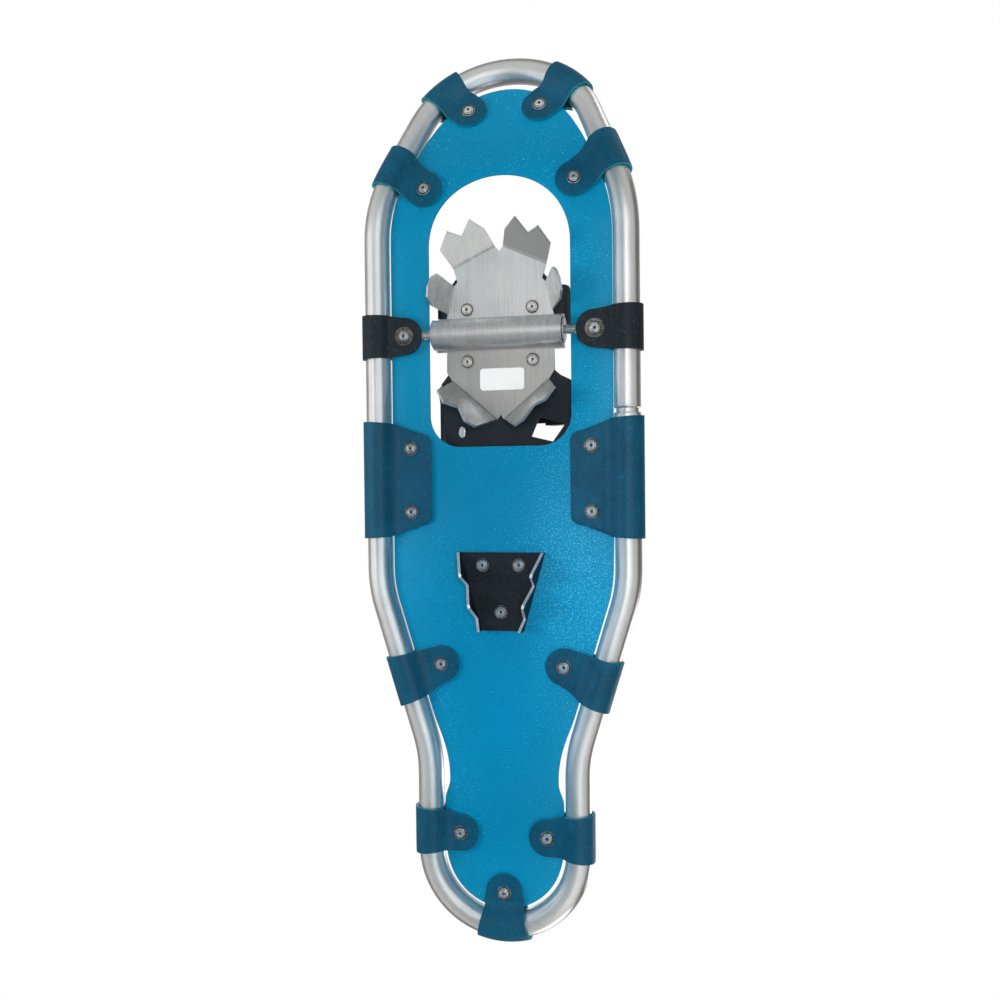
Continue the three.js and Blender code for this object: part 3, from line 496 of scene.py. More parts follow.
def plated(name, tone, rough):
    """Bright plated steel, clouded on a rivet's head, dark on its washer, and darkened in its
    hollow as painted shade.
    """
    f = Finish(name)
    cloud = f.noise(700, 4, 0.6)
    # Marks the washer's own dark ring and the hollow, whose dark is painted shade
    washer_and_painted_hollow = f.node("ShaderNodeAttribute", out="Fac", attribute_name="washer")
    head = f.mix(cloud.between(0.45, 0.7), tone, dim(tone, 0.74))
    ring = f.mix(cloud.between(0.35, 0.65), (0.07, 0.06, 0.055), (0.26, 0.23, 0.2))
    tint = f.mix(washer_and_painted_hollow, head, ring)
    return f.set(
        Base_Color=tint,
        Roughness=cloud * 0.16 + washer_and_painted_hollow * 0.1 + (rough - 0.08),
        Metallic=1.0,
        Normal=f.bump(f.noise(3200, 3), 0.00001, 0.4),
    )


# Middle and half sizes of the paler patch of painted glint on the deck, in metres, and its colour
PAINTED_GLINT_SPOT = (0.055, 0.055, 0.035, 0.1)
PAINTED_GLINT_COLOUR = linear(0, 168, 214)


def deck_skin(name, settings):
    """Coated deck sheet: saturated blue, fine pebble, and scattered bright grains that are painted
    glints.
    """
    f = Finish(name)
    base = tuple(settings.colour)
    cloud = f.noise(9, 4, 0.5)
    pebble = f.cells(settings.pebble)
    fine = f.noise(settings.pebble * 1.7, 3, 0.6)
    tint = f.mix(cloud.between(0.35, 0.7), dim(base, 0.86), base)
    tint = f.mix(pebble.between(0.25, 0.75) * 0.3, tint, dim(base, 0.72))
    patches = f.noise(16, 2, 0.5).between(0.36, 0.66) * 0.75 + 0.25
    # Bright grains in their own colour, painted glints on the pebble
    glint_grains = f.noise(settings.pebble * 0.95, 2, 0.45)
    # A paler patch with crowded bright grains, a painted glint where light catches the deck
    x, y, wide, high = PAINTED_GLINT_SPOT
    spot = f.place((1 / wide, 1 / high, 0), (-x / wide, -y / high, 0))
    away = f.node("ShaderNodeVectorMath", [spot], "Value", operation="LENGTH")
    painted_glint = away.between(1.5, 0.1)
    tint = f.mix(painted_glint * 0.3, tint, PAINTED_GLINT_COLOUR)
    painted_glints = glint_grains.between(0.63, 0.74) * patches
    painted_glints = painted_glints + glint_grains.between(0.5, 0.66) * painted_glint * 0.7
    tint = f.mix(painted_glints * settings.sparkle, tint, tuple(settings.grain_colour))
    height = pebble * -0.6 + fine * 0.5
    return f.set(
        Base_Color=tint,
        Roughness=fine * 0.18 + cloud * 0.08 + 0.3,
        Specular_IOR_Level=0.12,
        Normal=f.bump(height, 0.00016, 0.7),
    )


def grained_strap(name, colour, light, grain, depth, rough):
    """Moulded lashing with a leathery grain, and spots of painted sheen in a lighter colour."""
    f = Finish(name)
    base = tuple(colour)
    cloud = f.noise(38, 4, 0.6)
    cell = f.cells(grain)
    fine = f.noise(grain * 1.9, 3, 0.6)
    tint = f.mix(cloud.between(0.3, 0.72), dim(base, 0.72), base)
    # Lighter spots of painted sheen
    rubbed = f.noise(grain * 0.8, 2, 0.5).between(0.6, 0.73)
    tint = f.mix(rubbed * 0.5, tint, tuple(light))
    return f.set(
        Base_Color=tint,
        Roughness=fine * 0.2 + cloud * 0.1 + (rough - 0.15),
        Specular_IOR_Level=0.22,
        Normal=f.bump(cell * -0.7 + fine * 0.45, depth, 1.0),
    )


def moulded(name, colour, rough, grain=900, depth=0.00005):
    """Moulded black plastic with a fine spark-eroded grain and paler scuffs."""
    f = Finish(name)
    base = tuple(colour)
    cloud = f.noise(30, 4, 0.6)
    fine = f.noise(grain, 4, 0.6)
    scuff = f.noise(260, 5, 0.7, f.place((1, 0.3, 1))).between(0.64, 0.76)
    tint = f.mix(cloud, dim(base, 0.75), dim(base, 1.2))
    tint = f.mix(scuff * 0.3, tint, dim(base, 2.2, 0.01))
    return f.set(
        Base_Color=tint,
        Roughness=cloud * 0.12 + scuff * 0.1 + fine * 0.08 + (rough - 0.1),
        Specular_IOR_Level=0.25,
        Normal=f.bump(fine, depth, 0.7),
    )


def woven(name, colour, rough):
    """Black webbing: a fine twill woven across the strap."""
    f = Finish(name)
    base = tuple(colour)
    weave = f.node(
        "ShaderNodeTexWave",
        {"Vector": f.place(), "Scale": 190.0, "Distortion": 1.2, "Detail": 2.0},
        out="Fac",
        wave_type="BANDS",
        bands_direction="DIAGONAL",
    )
    thread = f.noise(1500, 3, 0.6)
    tint = f.mix(weave, dim(base, 0.6), dim(base, 1.5))
    return f.set(
        Base_Color=tint,
        Roughness=thread * 0.14 + (rough - 0.07),
        Normal=f.bump(weave * 0.7 + thread * 0.4, 0.00018, 0.8),
    )


def plain_sticker(name):
    """Blank white sticker with a slight paper tooth."""
    f = Finish(name)
    tooth = f.noise(1800, 4, 0.6)
    tint = f.mix(tooth, (0.86, 0.87, 0.86), (0.93, 0.93, 0.92))
    return f.set(
        Base_Color=tint,
        Roughness=tooth * 0.1 + 0.38,
        Normal=f.bump(tooth, 0.00001, 0.5),
    )


# ---- geometry node trees ----


class Tree:
    """One geometry node tree, with its named inputs in order."""

    def __init__(self, name, inputs):
        self.group = bpy.data.node_groups.new(name, "GeometryNodeTree")
        self.group.is_modifier = True
        face = self.group.interface
        face.new_socket("Geometry", in_out="OUTPUT", socket_type="NodeSocketGeometry")
        face.new_socket("Geometry", in_out="INPUT", socket_type="NodeSocketGeometry")
        for label, kind, default in inputs:
            made = face.new_socket(label, in_out="INPUT", socket_type=f"NodeSocket{kind}")
            if default is not None:
                made.default_value = default
        self.inputs = self.group.nodes.new("NodeGroupInput").outputs
        self.end = self.group.nodes.new("NodeGroupOutput")

    def node(self, kind, inputs=None, out=0, **settings):
        """Adds a node, wires or sets its inputs, and returns one of its outputs."""
        made = self.group.nodes.new(kind)
        for key, value in settings.items():
            setattr(made, key, value)
        for key, value in (inputs or {}).items():
            if isinstance(value, bpy.types.NodeSocket):
                self.group.links.new(value, made.inputs[key])
            else:
                made.inputs[key].default_value = value
        return made.outputs[out]

    def close(self, geometry):
        """Realizes the instances, sets the material and ends the tree."""
        real = self.node("GeometryNodeRealizeInstances", {"Geometry": geometry})
        painted = self.node(
            "GeometryNodeSetMaterial",
            {"Geometry": real, "Material": self.inputs["Material"]},
        )
        self.group.links.new(painted, self.end.inputs[0])
        return self

    def run(self, thing, name, **values):
        """Runs the tree on an object, and returns its result as a new plain object."""
        modifier = thing.modifiers.new("Nodes", "NODES")
        modifier.node_group = self.group
        for item in self.group.interface.items_tree:
            key = item.name.lower().replace(" ", "_")
            if item.in_out == "INPUT" and key in values:
                modifier[item.identifier] = values[key]
        thing.update_tag()
        evaluated = thing.evaluated_get(bpy.context.evaluated_depsgraph_get())
        mesh = bpy.data.meshes.new_from_object(evaluated)
        bpy.data.objects.remove(thing)
        return new_object(name, mesh)


def pipe_tree():
    """A round pipe along a closed curve, with named radius and number of sides."""
    tree = Tree(
        "Pipe along a curve",
        [("Radius", "Float", 0.0095), ("Sides", "Int", 64), ("Material", "Material", None)],
    )
    ring = tree.node(
        "GeometryNodeCurvePrimitiveCircle",
        {"Resolution": tree.inputs["Sides"], "Radius": tree.inputs["Radius"]},
        mode="RADIUS",
    )
    curves = {"Curve": tree.inputs["Geometry"], "Profile Curve": ring}
    pipe = tree.node("GeometryNodeCurveToMesh", curves)
    if "Scale" in pipe.node.inputs:
        radius = tree.node("GeometryNodeInputRadius")
        tree.group.links.new(radius, pipe.node.inputs["Scale"])
    return tree.close(pipe)


def spread_tree():
    """Copies one shape onto points, aimed along each point's axis and turned at random."""
    tree = Tree(
        "Spread on points",
        [
            ("Shape", "Object", None),
            ("Size", "Float", 1.0),
            ("Spin", "Float", 0.0),
            ("Seed", "Int", 3),
            ("Material", "Material", None),
        ],
    )
    shape = tree.node(
        "GeometryNodeObjectInfo", {"Object": tree.inputs["Shape"]}, out="Geometry"
    )
    axis, across = (
        tree.node("GeometryNodeInputNamedAttribute", {"Name": name}, data_type="FLOAT_VECTOR")
        for name in ("axis", "across")
    )
    aimed = tree.node("FunctionNodeAxesToRotation", {0: axis, 1: across})
    turn = tree.node(
        "FunctionNodeRandomValue",
        {3: tree.inputs["Spin"], "Seed": tree.inputs["Seed"]},
        out=1,
        data_type="FLOAT",
    )
    spun = tree.node("FunctionNodeAxisAngleToRotation", {"Axis": (0, 0, 1), "Angle": turn})
    rotation = tree.node(
        "FunctionNodeRotateRotation",
        {"Rotation": aimed, "Rotate By": spun},
        rotation_space="LOCAL",
    )
    points = tree.node("GeometryNodeMeshToPoints", {"Mesh": tree.inputs["Geometry"]})
    copies = tree.node(
        "GeometryNodeInstanceOnPoints",
        {
            "Points": points,
            "Instance": shape,
            "Rotation": rotation,
            "Scale": tree.inputs["Size"],
        },
    )
    return tree.close(copies)


def spread(name, shape_mesh, places, material, size=1.0, spin=0.0, seed=3):
    """Puts a shape at each (point, axis, across) and returns them as one mesh."""
    holder = new_object(f"{name}_shape", shape_mesh)
    points = mesh_from([p for p, _, _ in places], [], f"{name}_points")
    for label, column in (("axis", 1), ("across", 2)):
        attribute = points.attributes.new(label, "FLOAT_VECTOR", "POINT")
        flat = [c for place in places for c in place[column]]
        attribute.data.foreach_set("vector", flat)
    seat = new_object(f"{name}_points", points)
    made = spread_tree().run(
        seat, name, shape=holder, size=size, spin=spin, seed=seed, material=material
    )
    bpy.data.objects.remove(holder)
    return made


# ---- settings ----


def length(name, text, default):
    return FloatProperty(
        name=name, description=text, default=default, unit="LENGTH", subtype="DISTANCE"
    )


def colour(name, text, default):
    return FloatVectorProperty(
        name=name, description=text, default=default, size=3, subtype="COLOR"
    )


class TubeSettings(bpy.types.PropertyGroup):
    """Sizes and finish of the frame tube."""

    radius: length("Radius", "Outer radius of the frame tube", 0.0095)
    neck: length("Neck radius", "Radius of the reduced neck at the joint", 0.0079)
    sides: IntProperty(name="Sides", description="Sides of the tube", default=64)
    tone: colour("Tone", "Reflected colour of the bare tube", (0.8, 0.795, 0.775))
    rough: FloatProperty(name="Roughness", description="Satin skin", default=0.33)


class DeckSettings(bpy.types.PropertyGroup):
    """Sizes and finish of the deck sheet."""

    thickness: length("Thickness", "Thickness of the deck sheet", 0.0016)
    edge_round: length("Edge rounding", "Rounding of its cut edge", 0.0003)
    pebble: FloatProperty(name="Pebble", description="Pebbles per metre", default=900)
    # The deck's bright grains are painted glints
    sparkle: FloatProperty(
        name="Sparkle",
        description="Strength of the bright grains",
        default=0.8,
        subtype="FACTOR",
    )
    colour: colour("Colour", "Deck colour", linear(0, 144, 186))
    # Colour of the painted glints
    grain_colour: colour("Grain", "Colour of the bright grains", linear(90, 205, 235))


class StrapSettings(bpy.types.PropertyGroup):
    """Sizes and finishes of the straps that lash the deck to the tube."""

    thickness: length("Thickness", "Thickness of a strap", 0.002)
    edge_round: length("Edge rounding", "Rounding of its cut edge", 0.00035)
    colour: colour("Colour", "Strap colour", linear(0, 84, 112))
    # Colour of the straps' painted sheen, also used on their cut edges
    rubbed: colour("Rubbed", "Colour where it is rubbed", linear(26, 128, 154))
    # The cut edge's lighter teal is a painted highlight
    cut: colour("Cut edge", "Colour of the cut edge", linear(0, 140, 160))
    hinge: colour("Hinge straps", "Colour of the two hinge straps", linear(27, 36, 42))


class RivetSettings(bpy.types.PropertyGroup):
    """Sizes and finish of the rivets and their washers."""

    washer: length("Washer radius", "Radius of a rivet's washer", 0.0053)
    hinge_washer: length("Hinge washer radius", "Radius at the hinge straps", 0.0069)
    washer_height: length("Washer height", "Thickness of a washer", 0.001)
    head: length("Head radius", "Radius of a rivet's head", 0.0031)
    head_height: length("Head height", "Height of a head over its washer", 0.0012)
    hollow: length("Hollow radius", "Radius of the hollow in a head", 0.00115)
    tone: colour("Tone", "Reflected colour of the plating", (0.95, 0.94, 0.92))


class ClawSettings(bpy.types.PropertyGroup):
    """Finishes of the two crampons and the axle."""

    tone: colour("Plate", "Reflected colour of the brushed plate", (0.80, 0.81, 0.81))
    rough: FloatProperty(name="Roughness", description="Brushed skin", default=0.3)
    edge_round: length("Edge rounding", "Rounding of the cut edges", 0.0004)
    heel: colour("Heel coat", "Coat on the heel crampon", linear(20, 30, 38))
    steel: colour("Axle", "Reflected colour of the axle", (0.74, 0.73, 0.71))
    pitch: length("Thread pitch", "Pitch of the axle's threads", 0.00125)


class BindingSettings(bpy.types.PropertyGroup):
    """Sizes and finishes of the binding over the deck."""

    plastic: colour("Base", "Colour of the moulded base", linear(19, 27, 35))
    webbing: colour("Straps", "Colour of the straps", linear(22, 27, 33))
    buckle: colour("Buckles", "Colour of the buckles", linear(28, 30, 34))
    edge_round: length("Edge rounding", "Rounding of moulded edges", 0.0006)
    tooth_step: length("Ladder step", "Distance between ladder teeth", 0.0042)
    tread_step: length("Tread step", "Distance between tread bars", 0.0095)


class StageSettings(bpy.types.PropertyGroup):
    """Floor, lights and background."""

    floor: colour("Floor", "Colour of the floor", (0.86, 0.86, 0.85))
    sky: FloatProperty(name="Surround", description="Strength of the surround", default=0.9)
    under: FloatProperty(name="Under light", description="Watts from below", default=6.4)
    over: FloatProperty(name="Over light", description="Watts from above", default=7.5)
    show_floor: BoolProperty(name="Floor", description="Whether it stands on a floor", default=True)


SETTINGS = {
    "shoe_tube": TubeSettings,
    "shoe_deck": DeckSettings,
    "shoe_straps": StrapSettings,
    "shoe_rivets": RivetSettings,
    "shoe_claws": ClawSettings,
    "shoe_binding": BindingSettings,
    "shoe_stage": StageSettings,
}

# ---- straps round the tube ----

# name, drawn Y on the tube, width, widening round the tube on each side,
# rivets as (along the tube, in from its surface)
LASHINGS = [
    ("toe_strap", TOE_Y + 18.5, 30.5, -0.7, [(-1.6, 17.3)]),
    ("shoulder_strap", TOE_CORNER_Y - 32, 31.0, 0.4, [(7.3, 19.3)]),
    ("hinge_strap", AXLE_Y, 31.0, 0.6, [(0.0, 12.5)]),
    ("wide_strap", OPENING_END_Y + 23.5, 84.0, 1.4, [(-23.0, 16.0), (23.9, 16.0)]),
    ("waist_strap", WAIST_TOP_Y + 67.1, 34.0, 1.9, [(-2.7, 18.6)]),
    ("tail_strap", TAIL_Y - 68, 31.0, 1.4, [(2.0, 13.1)]),
    ("tail_end_strap", TAIL_Y, 36.5, -1.8, [(0.0, 14.5)]),
]
WIDE_REACH, WIDE_HALF, WIDE_CORNER = 31.0, 33.5, 7.0
EYE_T = 2.5
# Lift of the shoulder strap's leaves over the bend, and swelling of a leaf's sides
BEND_LIFT, LEAF_SWELL = 0.3, 0.10
# Where a strap leaves the tube, the length that its turn takes, and its steps
LEAVE, TURN_RUN, TURN_PULL = 50, 4.5, 0.35
LEAF_STEPS, TURN_STEPS, WRAP_STEPS, ACROSS_STEPS = 22, 8, 44, 22
# Distances in from the tube's centreline between which a strap stops following its curve
STRAIGHT_FROM, STRAIGHT_BY = TUBE_R - 2, WRAP_R + 8


class Lashing:
    """One strap's place on the tube, its plan outline and its section."""

    def __init__(self, name, y, width, flare, rivets):
        self.name = name
        self.flare = flare
        self.half = width / 2
        self.run = LINE.run_at(y) if y < TAIL_Y else LINE.near_length
        self.foot = LINE.at(self.run)
        facing = Vector((0, 0))
        for i in range(41):
            facing += LINE.inward(self.run + self.half * (i / 20 - 1))
        self.inward = facing.normalized()
        self.along = Vector((self.inward.y, -self.inward.x))
        self.rivets = [(a, TUBE_R + inset) for a, inset in rivets]
        self.wide = name.startswith("wide")
        hinge = name.startswith("hinge")
        bends = name.startswith("shoulder")
        self.above = LEAF_IN + (BEND_LIFT if bends else 0)
        self.below = LEAF_IN + (EYE_T + GAP if hinge else BEND_LIFT if bends else 0)
        self.reach = TUBE_R + WIDE_REACH if self.wide else self.rivets[0][1] + LOBE_R

    def limits(self, x):
        """The strap's lowest and highest place along the tube, at a distance in from it."""
        if x <= TUBE_R:
            spread_out = self.half + self.flare * (TUBE_R - x) / (TUBE_R + WRAP_R)
            return -spread_out, spread_out
        if self.wide:
            share = (x - TUBE_R) / (self.reach - WIDE_CORNER - TUBE_R)
            side = self.half + (WIDE_HALF - self.half) * min(share, 1.0)
            if share > 1:
                into = min(x - self.reach + WIDE_CORNER, WIDE_CORNER)
                side += math.sqrt(WIDE_CORNER**2 - into**2) - WIDE_CORNER
            return -side, side
        at, in_at = self.rivets[0]
        if x < in_at:
            share = (x - TUBE_R) / (in_at - TUBE_R)
            ease = share + LEAF_SWELL * math.sin(math.pi * share)
            return (
                -self.half + (at - LOBE_R + self.half) * ease,
                self.half + (at + LOBE_R - self.half) * ease,
            )
        side = math.sqrt(max(LOBE_R**2 - (x - in_at) ** 2, 0.0))
        return at - side, at + side

    def section(self):
        """(in, up) points of its middle surface, from the lower end round the tube to the upper."""
        middle = SLEEVE_R + LEAF_T / 2
        leave = math.radians(LEAVE)
        low = Vector((middle * math.cos(leave), middle * math.sin(leave)))
        slope = Vector((math.sin(leave), -math.cos(leave)))
        sides = []
        for sign, gap in ((-1, self.below), (1, self.above)):
            height = gap + LEAF_T / 2
            turn_at = low + slope * ((low.y - height) / -slope.y)
            turn_at.y = height
            end_x = turn_at.x + TURN_RUN
            leaf = []
            for i in range(LEAF_STEPS, -1, -1):
                share = math.sin(math.pi / 2 * i / LEAF_STEPS)
                leaf.append(Vector((end_x + (self.reach - end_x) * share, height)))
            pulled = low.lerp(turn_at, TURN_PULL)
            leaf += quadratic(Vector((end_x, height)), turn_at, pulled, TURN_STEPS)[1:]
            sides.append([Vector((p.x, p.y * sign)) for p in leaf])
        lower, upper = sides
        wrap = arc(0, 0, middle, -leave, leave - 2 * math.pi, WRAP_STEPS)
        return lower + wrap + upper[::-1]

    def place(self, a, x, z):
        """A point at a place along the tube, a distance in and a height, in drawn millimetres."""
        near = self.run + a
        round_tube = LINE.at(near) + LINE.inward(near) * x
        straight = self.foot + self.along * a + self.inward * x
        share = smoothstep(x, STRAIGHT_FROM, STRAIGHT_BY)
        flat = round_tube.lerp(straight, share)
        return Vector((flat.x, flat.y, z))

    def rivet_places(self):
        """(drawn x, drawn y) of each rivet on the wearer's left."""
        return [self.foot + self.along * a + self.inward * x for a, x in self.rivets]

    def sheet(self, side):
        """The strap's middle surface as a mesh, on one side of the frame."""
        step = ACROSS_STEPS + 1
        points = []
        for x, z in self.section():
            low, high = self.limits(x)
            for j in range(step):
                p = self.place(low + (high - low) * j / ACROSS_STEPS, x, z)
                points.append(in_row(p.x * side, p.y, p.z))
        faces = []
        for corner in range(len(points) - step):
            if corner % step < ACROSS_STEPS:
                face = (corner, corner + 1, corner + 1 + step, corner + step)
                faces.append(face if side > 0 else face[::-1])
        mesh = mesh_from(points, faces, self.name)
        with opened(mesh) as made:
            bmesh.ops.remove_doubles(made, verts=made.verts, dist=SHEET_DOUBLE)
            bmesh.ops.dissolve_degenerate(made, dist=SHEET_SLIVER, edges=made.edges)
        return mesh


STRAPS = [Lashing(*row) for row in LASHINGS]
SIDES = (("left", 1), ("right", -1))


def strap_nodes():
    """(strap, node, side) for every strap on the frame."""
    for strap in STRAPS:
        if strap.name == "tail_end_strap":
            yield strap, strap.name, 1
        else:
            for side, sign in SIDES:
                yield strap, f"{strap.name}_{side}", sign


# ---- frame tube, deck, straps, rivets ----


# Steps of the pipe along its length, and the run past its swaged joint that they skip
PIPE_STEPS, LIP_CLEAR = 620, 1.5
# Turns in degrees above which an edge is shaded sharp
PIPE_SHADE, DECK_SHADE, STRAP_SHADE, CAP_SHADE = 40, 35, 50, 38


class SHOE_OT_tube(bpy.types.Operator):
    """Bends the frame tube round its centreline, with the reduced neck at its joint."""

    bl_idname = "shoe.tube"
    bl_label = "Frame tube"

    def execute(self, context):
        props = context.scene.shoe_tube
        near = LINE.run_at(JOINT_Y)
        neck = props.neck / props.radius
        # distance past the joint, and share of the tube's radius there
        lip = [
            (-3.0, 1.0), (-1.3, 0.995), (-0.5, 0.96), (-0.1, 0.89), (0.0, 0.86),
            (0.02, neck), (NECK_GAP - 0.02, neck), (NECK_GAP, 0.9), (NECK_GAP + 0.25, 0.97),
            (NECK_GAP + 1.0, 1.0),
        ]
        first = near + lip[-1][0] + LIP_CLEAR
        span = LINE.length - (lip[-1][0] - lip[0][0]) - 2 * LIP_CLEAR
        stops = [(near + run, radius) for run, radius in lip]
        stops += [(first + span * i / PIPE_STEPS, 1.0) for i in range(PIPE_STEPS + 1)]
        curve = bpy.data.curves.new("tube_line", "CURVE")
        curve.dimensions = "3D"
        spline = curve.splines.new("POLY")
        spline.points.add(len(stops) - 1)
        for point, (run, radius) in zip(spline.points, stops):
            at = LINE.at(run)
            point.co = (*in_row(at.x, at.y, 0), 1)
            point.radius = radius
        spline.use_cyclic_u = True
        line = new_object("tube_line", curve)
        tube = pipe_tree().run(
            line,
            "frame_tube_bent",
            radius=props.radius,
            sides=props.sides,
            material=satin_silver("Satin tube", tuple(props.tone), props.rough),
        )
        facing_out(tube.data)
        smooth(tube.data, PIPE_SHADE)
        finish_piece(tube, "frame", "tube", "frame_tube")
        return {"FINISHED"}


# Gap between tube and deck, and what the toe, the waist's notch and the tail add to it
EDGE_GAP, TOE_GAP, NOTCH_GAP, TAIL_GAP = 1.2, 6.5, 3.8, 1.2
RIM_STEPS, RIM_SHIFT = 300, 0.9
# Rows and columns of points that let the sheet bend at the toe
BEND_ROWS, ROWS_IN_BEND, BEND_COLUMNS, COLUMN_STEP, ROW_STAGGER = 40, 18, 28, 3.2, 0.4


def edge_gap(y):
    """Gap between the tube and the deck's edge: wide at the toe, with a notch at the waist."""
    past = y - WAIST_LOW_Y
    notch = smoothstep(past, -28, 18) if past < 20 else 1 - smoothstep(past, 20, 35)
    toe, tail = smoothstep(TOE_Y - y, -70.7, -14.7), smoothstep(y - TAIL_Y, -75.5, -35.5)
    return EDGE_GAP + TOE_GAP * toe + NOTCH_GAP * notch + TAIL_GAP * tail


def deck_rim():
    """The deck's outline as drawn, pushed out a little on the wearer's left."""
    near = []
    for i in range(RIM_STEPS + 1):
        run = LINE.near_length * i / RIM_STEPS
        at = LINE.at(run)
        near.append(at + LINE.inward(run) * (TUBE_R + edge_gap(at.y)))
    near[0].x = near[-1].x = 0.0
    far = [Vector((-p.x, p.y)) for p in reversed(near[1:-1])]
    for p in near[1:-1]:
        p.x += RIM_SHIFT * smoothstep(p.y, -250, -215) * smoothstep(-p.y, -60, -10)
    return near + far


def opening_rim():
    """The outline of the opening for the toe crampon."""
    corner = OPENING_CORNER
    side = OPENING_HALF - corner
    low = OPENING_END_Y - corner
    return [
        *arc(0, OPENING_TOP_Y, OPENING_HALF, math.pi, 2 * math.pi, 64),
        *arc(side, low, corner, 0, math.pi / 2, 24),
        *arc(-side, low, corner, math.pi / 2, math.pi, 24),
    ]


def inside(point, loop):
    """Whether a point lies inside a closed outline."""
    odd = False
    for here, there in zip(loop, loop[1:] + loop[:1]):
        if (here.y > point.y) != (there.y > point.y):
            cross = here.x + (point.y - here.y) * (there.x - here.x) / (there.y - here.y)
            odd ^= cross > point.x
    return odd


class SHOE_OT_deck(bpy.types.Operator):
    """Cuts the deck sheet to the frame, opens it for the toe crampon and bends it up at the toe."""

    bl_idname = "shoe.deck"
    bl_label = "Deck"

    def execute(self, context):
        props = context.scene.shoe_deck
        rim, hole = deck_rim(), opening_rim()
        points = rim + hole
        edges = [(i, (i + 1) % len(rim)) for i in range(len(rim))]
        first = len(rim)
        edges += [(first + i, first + (i + 1) % len(hole)) for i in range(len(hole))]
        for i in range(BEND_ROWS):
            y = UPTURN_Y - UPTURN_RADIUS * UPTURN_ANGLE * i / ROWS_IN_BEND
            for j in range(-BEND_COLUMNS, BEND_COLUMNS + 1):
                at = Vector((j * COLUMN_STEP + ROW_STAGGER * (i % 2), y))
                if y > TOE_Y + 20 and inside(at, rim) and not inside(at, hole):
                    points.append(at)
        verts, _, triangles, *_ = delaunay_2d_cdt(points, edges, [], 0, 1e-5)
        kept = []
        for face in triangles:
            middle = sum((verts[i] for i in face), Vector((0, 0))) / len(face)
            if inside(middle, rim) and not inside(middle, hole):
                kept.append(tuple(face))
        used = sorted({i for face in kept for i in face})
        index = {old: new for new, old in enumerate(used)}
        mesh = mesh_from(
            [in_row(verts[i].x, verts[i].y, 0) for i in used],
            [tuple(index[i] for i in face) for face in kept],
            "deck",
        )
        deck = new_object("deck_sheet", mesh, deck_skin("Blue deck", props))
        modified(deck, walled(props.thickness), rounded(props.edge_round))
        facing_out(deck.data)
        smooth(deck.data, DECK_SHADE)
        finish_piece(deck, "frame", "deck", "deck")
        return {"FINISHED"}


class SHOE_OT_straps(bpy.types.Operator):
    """Wraps each strap round the tube and lays its two leaves on the deck."""

    bl_idname = "shoe.straps"
    bl_label = "Lashing straps"

    def execute(self, context):
        props = context.scene.shoe_straps
        teal = grained_strap("Teal strap", props.colour, props.rubbed, 900, 0.0003, 0.44)
        black = grained_strap(
            "Black hinge strap", props.hinge, linear(62, 74, 82), 700, 0.0004, 0.44
        )
        # The straps' edges get a lighter teal, a painted highlight
        cut = grained_strap("Cut strap edge", props.cut, props.rubbed, 1500, 0.00008, 0.5)
        for strap, node, side in strap_nodes():
            hinge = strap.name == "hinge_strap"
            piece = new_object(
                f"{node}_wrapped",
                strap.sheet(side),
                black if hinge else teal,
                black if hinge else cut,
            )
            wall = walled(props.thickness, material_offset_rim=1)
            modified(piece, wall, rounded(props.edge_round))
            facing_out(piece.data)
            smooth(piece.data, STRAP_SHADE)
            finish_piece(piece, "frame", "hinge_strap" if hinge else "strap", node)
        return {"FINISHED"}


def rivet_cap(props, washer):
    """A washer under a domed, hollow rivet head, standing on z = 0."""
    t, rise = props.washer_height, props.head_height
    head, hollow = props.head, props.hollow
    cap = lathe(
        [
            (0, 0), (washer - 0.0003, 0), (washer, 0.00025), (washer, t - 0.0003),
            (washer - 0.0003, t), (head * 1.22, t * 0.86), (head * 1.1, t * 0.7),
            (head, t * 0.72), (head * 0.99, t + rise * 0.45), (head * 0.9, t + rise * 0.8),
            (head * 0.74, t + rise), (hollow * 1.3, t + rise * 0.98),
            (hollow, t + rise * 0.85), (hollow * 0.8, t * 0.75), (hollow * 0.3, t * 0.6),
            (0, t * 0.6),
        ]
    )
    # Dark on the washer ring, its own colour, and in the hollow, as painted shade
    dark_washer_and_painted_hollow = cap.attributes.new("washer", "FLOAT", "POINT")
    for i, vertex in enumerate(cap.vertices):
        reach = vertex.co.xy.length
        rim = head * 1.15 < reach < washer - 0.0002
        dark_washer_and_painted_hollow.data[i].value = 1.0 if rim or reach < hollow * 0.9 else 0.0
    return cap


# How far caps stand off their leaf, the turn that they are spread over, and the shares of
# the washer's size at the heel crampon and the binding
CAP_LIFT, CAP_SPIN, HEEL_CAP, BINDING_CAP = 0.05, 6.28, 0.94, 0.92
# Thickness of the heel crampon's plate
PLATE_T = 2.0


def set_caps(name, cap, seats, steel, body, *nodes, **turned):
    """Spreads rivet caps on their seats and hangs them on a body."""
    made = spread(name, cap, seats, steel, **turned)
    smooth(made.data, CAP_SHADE)
    finish_piece(made, body, "rivet", *nodes)


def flat_place(x, y, z, sign):
    """A cap's seat on the bent deck: a point, its outward axis and a direction across."""
    return in_row(x, y, z), up_at(y) * sign, Vector((1, 0, 0))


